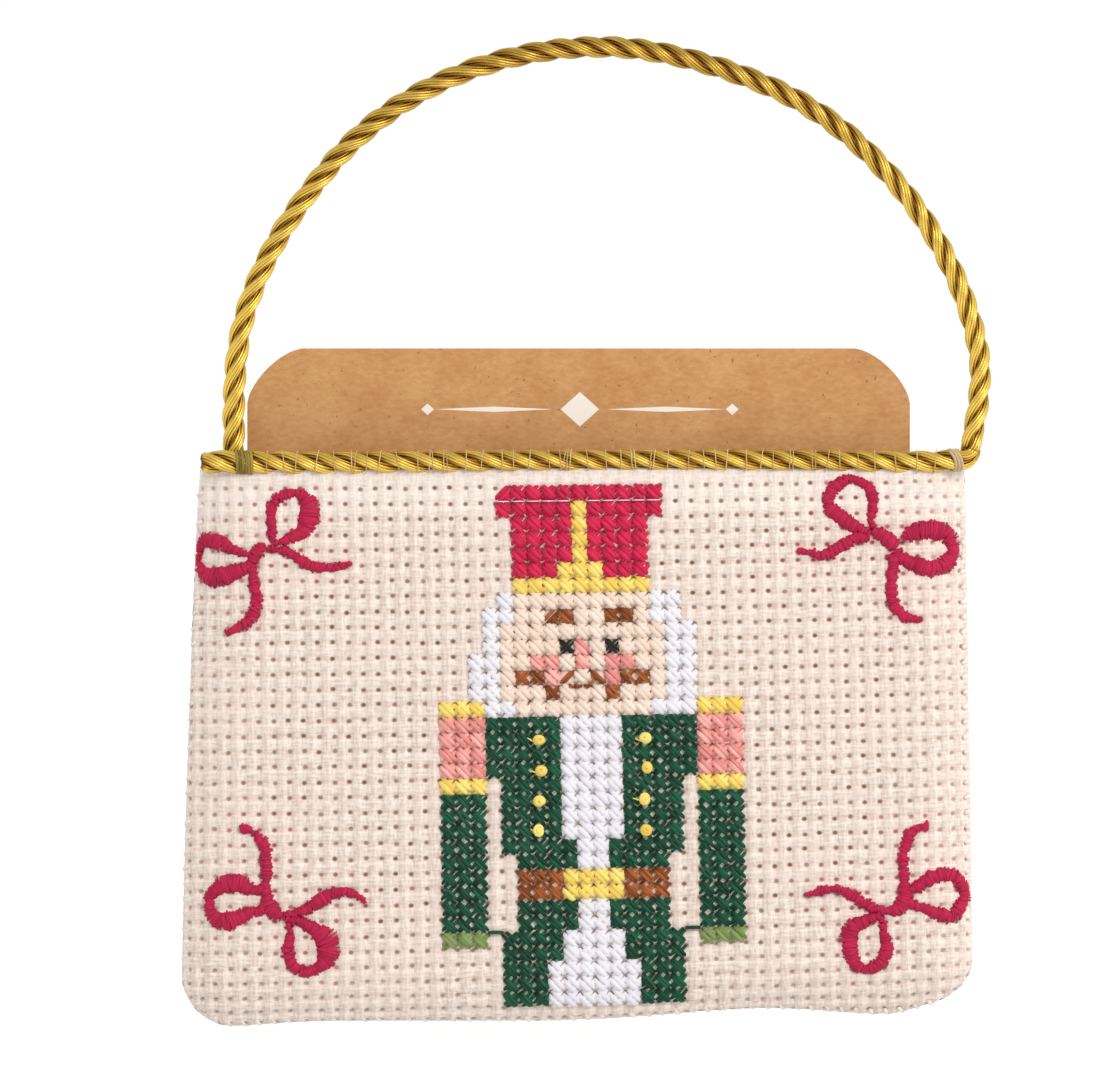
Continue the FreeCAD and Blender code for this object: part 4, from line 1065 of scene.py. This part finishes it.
def knot(column, row):
    """Line of the thread of one knot."""
    place = seen(column, row) + dice.normal(0, KNOT_JITTER, 2)
    travel = np.linspace(0, 1, KNOT_POINTS)
    turn = 2 * math.pi * (KNOT_TURNS * travel + dice.uniform())
    reach = KNOT_RADIUS * (1 - KNOT_CLOSES * travel ** 2)
    reach = reach * (1 + KNOT_UNEVEN * np.sin(turn * 0.7 + dice.uniform(0, 6)))
    squash = dice.uniform(*KNOT_SQUASH)
    x, z = place[0] + reach * np.cos(turn) * squash, place[1] + reach * np.sin(turn) / squash
    lift = KNOT_LIFT + KNOT_CLIMB * travel + KNOT_WAVE * np.sin(turn + dice.uniform(0, 6))
    return on_front(x, z, lift)[0]


def thread_tubes(lines, radii, sides):
    """Points, faces, UV and tones of threads along lines of equal length, each with a tone of its own."""
    tone = np.repeat(dice.uniform(0, 1, len(lines)), len(lines[0]) * sides)
    return *tubes(lines, radii, sides), tone


lines = [knot(column, row) for column in KNOT_COLUMNS for row in KNOT_ROWS]
girth = KNOT_END + (1 - KNOT_END) * np.sin(np.linspace(0, math.pi, KNOT_POINTS))
knots = thread_tubes(lines, [KNOT_THREAD * girth] * len(lines), KNOT_SIDES)
places = np.array([line[0][[0, 2]] for line in lines])
tails = places + np.stack([dice.uniform(*reach, len(lines)) for reach in (TAIL_ACROSS, TAIL_UP)], axis=1)
loose = lay_strands(places, tails, TAIL_LOW, TAIL_HIGH, TAIL_WIDTH, TAIL_WIDTH)
stitched("knots_buttons", [knots, loose], FLOSS["gold"], "button_knots")
print(len(lines), "knots")

# %% [markdown]
# ## Satin-stitched bows
# Satin stitch fills a shape with threads side by side. Here each thread lies across the ribbon, so the
# light runs along the bow in bands. The ends of the threads are uneven, as they are in hand work on
# coarse cloth.

# %% Bows
SATIN_APART, SATIN_WIDTH, SATIN_WIDTHS, SATIN_THICKNESS = 0.19, 0.17, (0.85, 1.15), 0.15
RAGGED, SAME_HOLE, SATIN_IN, SATIN_JITTER = 0.13, 2, 0.01, 0.04
SATIN_LOW, SATIN_HIGH, SATIN_CROWN, STROKE_LIFT = 0.15, 0.30, 0.13, 0.06


def satin(stroke, lift):
    """Threads across one ribbon stroke."""
    centre = evenly(np.asarray(stroke, float), SATIN_APART)
    across = sideways(np.gradient(centre[:, :2], axis=0))
    half = centre[:, 2:] / 2 - SATIN_IN
    count = len(centre)
    ends = []
    for side in (1, -1):
        ragged = np.repeat(dice.normal(0, RAGGED, count // SAME_HOLE + 1), SAME_HOLE)[:count, None]
        ragged = ragged + dice.normal(0, RAGGED / 3, (count, 1))
        end = centre[:, :2] + across * side * (half + ragged)
        ends.append(end + dice.normal(0, SATIN_JITTER, (count, 2)))
    start, end = ends
    high = lift + SATIN_HIGH + SATIN_CROWN * centre[:, 2] + dice.normal(0, SATIN_JITTER, count)
    width = SATIN_WIDTH * dice.uniform(*SATIN_WIDTHS, count)
    return lay_strands(start, end, lift - SATIN_LOW, high, width, SATIN_THICKNESS)


for corner, strokes in BOWS.items():
    parts = [satin(stroke, STROKE_LIFT * number) for number, stroke in enumerate(strokes)]
    bow = stitched("satin_bow_" + corner, parts, FLOSS["crimson_satin"], "bow_" + corner)
    print(bow.name, len(bow.data.polygons), "faces")

# %% [markdown]
# ## Threads that hold it together
# Fine threads sew the cord to the mouth, bind its ends and join the panels. Each is a thin tube along a
# short line: over the cord, or over the seam from the front to the back.

# %% Material: spun sewing thread and wrapped gold thread
# Spun thread is dull and even; the wrapped thread at the left end is a greenish metallic.
spun_thread = floss("spun_sewing_thread", "#BC9450", "#E4CC92", 0.2)
seam_cotton = floss("seam_cotton_thread", "#EAD8C9", "#FBF3EA", 0.2)
beige_thread = floss("beige_binding_thread", "#A6885E", "#D2BE96", 0.25)
wrapped_gold = floss("wrapped_gold_thread", "#4E3A12", "#B8A04A", 0.4)
print("made", spun_thread.name, "and 3 more threads")

# %% Whip stitches over the trim
CORD_CLEAR, WHIP_RADIUS, WHIP_POINTS, WHIP_SIDES = 1.70, 0.08, 12, 5
WHIP_FIRST, WHIP_LAST, WHIP_APART, DOUBLE_SHARE, DOUBLE_APART = -47.6, 55.4, (1.6, 3.3), 0.25, 0.5
WHIP_ANGLES = (-112, 95)  # from the front of the trim, counted upwards
WHIP_SLANT, WHIP_LOOSE, WHIP_GIRTH = (0.1, 0.5), (1, 1.06), (0.8, 1.15)
angle = np.radians(np.linspace(*WHIP_ANGLES, WHIP_POINTS))
along = np.linspace(-0.5, 0.5, WHIP_POINTS)
lines, x = [], WHIP_FIRST
while x < WHIP_LAST:
    slant = dice.normal(*WHIP_SLANT)
    radius = CORD_CLEAR * dice.uniform(*WHIP_LOOSE) * np.interp(x, *zip(*TRIM_FULLNESS))
    middle = np.interp(x, trim_line[:, 0], trim_line[:, 2])
    lines.append(np.stack([x + slant * along, TRIM_Y - radius * np.cos(angle),
                           middle + radius * np.sin(angle)], axis=1))
    x += dice.uniform(*WHIP_APART) if dice.uniform() > DOUBLE_SHARE else DOUBLE_APART
radii = [np.full(WHIP_POINTS, WHIP_RADIUS * dice.uniform(*WHIP_GIRTH)) for line in lines]
whips = thread_tubes(lines, radii, WHIP_SIDES)
stitched("whip_threads", [whips], spun_thread, "trim_whip_stitches")
print(len(lines), "whip stitches")

# %% Binds at both ends of the trim and the tack of the tail
COIL_POINTS, COIL_SIDES, COIL_UNEVEN = 16, 6, 0.03
tack_low, tack_high = [corner[2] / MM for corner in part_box("tail_tack")]
# Name, node, slot and material; start and end of the axis; turns, their lean, their radius and the thread's.
COILS = [
    ("bind_left", "trim_left_bind", "gold_thread", wrapped_gold,
     (-52.4, TRIM_Y, TRIM_Z), (-49.7, TRIM_Y, TRIM_Z - 0.1), 6, 0.1, 1.68, 0.25),
    ("bind_right", "trim_right_bind", "sewing_thread", beige_thread,
     (56.8, TRIM_Y, TRIM_Z + 0.2), (58.2, TRIM_Y, TRIM_Z + 0.3), 3, 0.6, 1.6, 0.25),
    ("tail_tack_turns", "tail_tack", "sewing_thread", spun_thread,
     (-52.5, -0.5, tack_low + 0.2), (-52.5, -0.5, tack_high - 0.2), 4, 0.0, 1.55, 0.22),
]
for name, node, slot, material, start, end, turns, lean, radius, thread in COILS:
    start, end = np.array(start), np.array(end)
    count = turns * COIL_POINTS
    travel = np.linspace(0, 1, count)
    line = start + (end - start) * travel[:, None]
    across, up = frames_along(line)
    turn = 2 * math.pi * turns * travel
    wound, marks = travel * turns, np.arange(turns + 1)
    reach = radius * (1 + np.interp(wound, marks, dice.normal(0, COIL_UNEVEN, turns + 1)))
    line = line + reach[:, None] * around(across, up, turn) + (end - start) * (lean * np.sin(turn))[:, None]
    tone = np.repeat(np.interp(wound, marks, dice.uniform(0, 1, turns + 1)), COIL_SIDES)
    stitched(name, [(*tubes([line], [np.full(count, thread)], COIL_SIDES), tone)], material, node)
    print(name, turns, "turns")

# %% Seam stitches round the sides and the bottom
SEAM_APART, SEAM_RADIUS, SEAM_SLANT, SEAM_SUNK, SEAM_JITTER = 2.3, 0.34, 1.1, 0.12, 0.06
SEAM_ANGLE, SEAM_POINTS, SEAM_SIDES = 50, 9, 5
# Rough lines down the left, along the bottom and up the right, each with a count of places. A few steps then
# bring the places on to the outline.
ROUGH = (((-58.0, -64.5), (-58.0, -139.0), 80), ((-55.0, -144.0), (55.0, -144.0), 110),
         ((58.0, -137.0), (58.0, -64.5), 80))
ROUGH_STEPS = 12
edge_x, edge_z = np.concatenate([np.linspace(*line) for line in ROUGH]).T
for _ in range(ROUGH_STEPS):
    way_x, way_z = outwards(edge_x, edge_z)
    gap = inside(edge_x, edge_z)
    edge_x, edge_z = edge_x + way_x * gap, edge_z + way_z * gap
outline = evenly(np.stack([edge_x, np.zeros_like(edge_x), edge_z], axis=1), SEAM_APART)
slide = unit(np.gradient(outline, axis=0))
way_x, way_z = outwards(outline[:, 0], outline[:, 2])
way = np.stack([way_x, np.zeros_like(way_x), way_z], axis=1)
angle = np.radians(np.linspace(-SEAM_ANGLE, SEAM_ANGLE, SEAM_POINTS))[:, None]
reach, across = EDGE_RADIUS - SEAM_SUNK, np.array([0, 1, 0])
lines = []
for place, along, out in zip(outline[1:-1], slide[1:-1], way[1:-1]):
    line = place - out * EDGE_RADIUS + out * (reach * np.cos(angle)) + along * (SEAM_SLANT * angle / 2)
    lines.append(line + across * (reach * np.sin(angle)) + dice.normal(0, SEAM_JITTER, 3))
seam = thread_tubes(lines, [np.full(SEAM_POINTS, SEAM_RADIUS)] * len(lines), SEAM_SIDES)
stitched("seam_stitches", [seam], seam_cotton, "seam_thread")
print(len(lines), "seam stitches")

# %% [markdown]
# ## Kraft card
# A stiff brown card stands in the pouch. It starts as a plane scaled to the card; its corners are
# bevelled to a radius, it is extruded to the thickness of board, and a fine bevel softens its cut rim.

# %% Material: kraft board
# Unbleached board: warm brown, with clouds of short fibres and a few specks. A swelled rule, the plain
# divider of printers, is printed on its front in white. Its marks are lozenges: distance from the middle,
# half width and half height.
PRINT_X, PRINT_Z = 0.3, -53.6
PRINT_MARKS = ((0.0, 3.0, 2.7), (13.2, 9.2, 0.42), (23.4, 1.0, 0.9))
INK_EDGE, INK_COVERS = (1.0, 0.97), 0.92
# Scales count to the metre: fibres of 1.25 by 0.67 mm, clouds of 6 mm and specks of 0.7 mm.
KRAFT_FIBRE, KRAFT_CLOUD, CLOUD_SHARE, KRAFT_SHADES = (800.0, 800.0, 1500.0), 170.0, 0.7, (0.50, 1.20)
# Scale of the grains, from which height they show, how strongly and their colour: dark specks and pale ones.
SPECKS, SPECK_EDGE = ((1500.0, 0.725, 0.7, "#85552C"), (1600.0, 0.75, 0.25, "#E8C89E")), 0.05
low, high = [np.array(corner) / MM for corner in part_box("insert_card")]

kraft, tree, shader = new_material("unbleached_kraft_board", Roughness=0.85)
where = add(tree, "TexCoord").outputs["Object"]
stretch = add(tree, "Mapping", {"Vector": where, "Scale": KRAFT_FIBRE})
fibres = add(tree, "TexNoise", {"Vector": stretch, "Scale": 1.0, "Detail": 5.0, "Roughness": 0.7})
cloud = add(tree, "TexNoise", {"Vector": where, "Scale": KRAFT_CLOUD, "Detail": 4.0})
both = add(tree, "Math", [cloud, CLOUD_SHARE, fibres], "MULTIPLY_ADD")
shade = add(tree, "MapRange", [both, *KRAFT_SHADES])
board = add(tree, "MixRGB", [shade, linear("#B47C46"), linear("#D3A36D")])
for scale, edge, most, colour in SPECKS:
    grains = add(tree, "TexNoise", {"Vector": where, "Scale": scale, "Detail": 1.0})
    speck = add(tree, "MapRange", [grains, edge, edge + SPECK_EDGE, 0.0, most])
    board = add(tree, "MixRGB", [speck, board, linear(colour)])
depth = add(tree, "SeparateXYZ", [where]).outputs["Y"]
front_face = add(tree, "Math", [depth, (low[1] + high[1]) / 2 * MM], "LESS_THAN")
from_middle = add(tree, "VectorMath", [where, (PRINT_X * MM, 0.0, PRINT_Z * MM)], "SUBTRACT")
from_middle = add(tree, "VectorMath", [from_middle], "ABSOLUTE")
over, _, up = add(tree, "SeparateXYZ", [from_middle]).outputs
for middle, half_width, half_height in PRINT_MARKS:
    aside = add(tree, "Math", [over, middle * MM], "SUBTRACT")
    aside = add(tree, "Math", [aside], "ABSOLUTE")
    aside = add(tree, "Math", [aside, half_width * MM], "DIVIDE")
    lozenge = add(tree, "Math", [up, 1 / half_height / MM, aside], "MULTIPLY_ADD")
    ink = add(tree, "MapRange", [lozenge, *INK_EDGE, 0.0, INK_COVERS])
    ink = add(tree, "Math", [ink, front_face], "MULTIPLY")
    board = add(tree, "MixRGB", [ink, board, linear("#F4EEE6")])
dress(tree, shader, board, both, strength=0.25, distance=0.08)
print("made", kraft.name)

# %% The card
CARD_CORNER, CARD_STEPS, CARD_PROFILE, CARD_SPREAD = 8.4, 12, 0.40, (0.5, 0.7)
CARD_RIM, RIM_STEPS, RIM_ANGLE, SMOOTH_ANGLE = 0.09, 2, math.radians(60), math.radians(20)
low[0], high[0] = low[0] - CARD_SPREAD[0], high[0] + CARD_SPREAD[1]
bpy.ops.object.select_all(action="DESELECT")
middle = (low + high) / 2
bpy.ops.mesh.primitive_plane_add(size=1, location=[middle[0] * MM, low[1] * MM, middle[2] * MM],
                                 rotation=(math.radians(90), 0, 0))
card = bpy.context.object
card.name = card.data.name = "kraft_board"
card.scale = [(high[0] - low[0]) * MM, (high[2] - low[2]) * MM, 1]
bpy.ops.object.transform_apply(location=True, rotation=True, scale=True)
bpy.ops.object.mode_set(mode="EDIT")
bpy.ops.mesh.select_all(action="SELECT")
bpy.ops.mesh.bevel(offset=CARD_CORNER * MM, segments=CARD_STEPS, profile=CARD_PROFILE, affect="VERTICES")
bpy.ops.mesh.select_all(action="SELECT")
bpy.ops.mesh.extrude_region_move(TRANSFORM_OT_translate={"value": (0, (high[1] - low[1]) * MM, 0)})
bpy.ops.mesh.select_all(action="SELECT")
bpy.ops.mesh.normals_make_consistent(inside=False)
bpy.ops.object.mode_set(mode="OBJECT")
bevel = card.modifiers.new("rim", "BEVEL")
bevel.width = CARD_RIM * MM
bevel.segments = RIM_STEPS
bevel.limit_method = "ANGLE"
bevel.angle_limit = RIM_ANGLE
bpy.ops.object.modifier_apply(modifier="rim")
bpy.ops.object.shade_smooth_by_angle(angle=SMOOTH_ANGLE)
finish_piece(card, kraft, "card", "insert_card")
print("card", len(card.data.polygons), "faces")
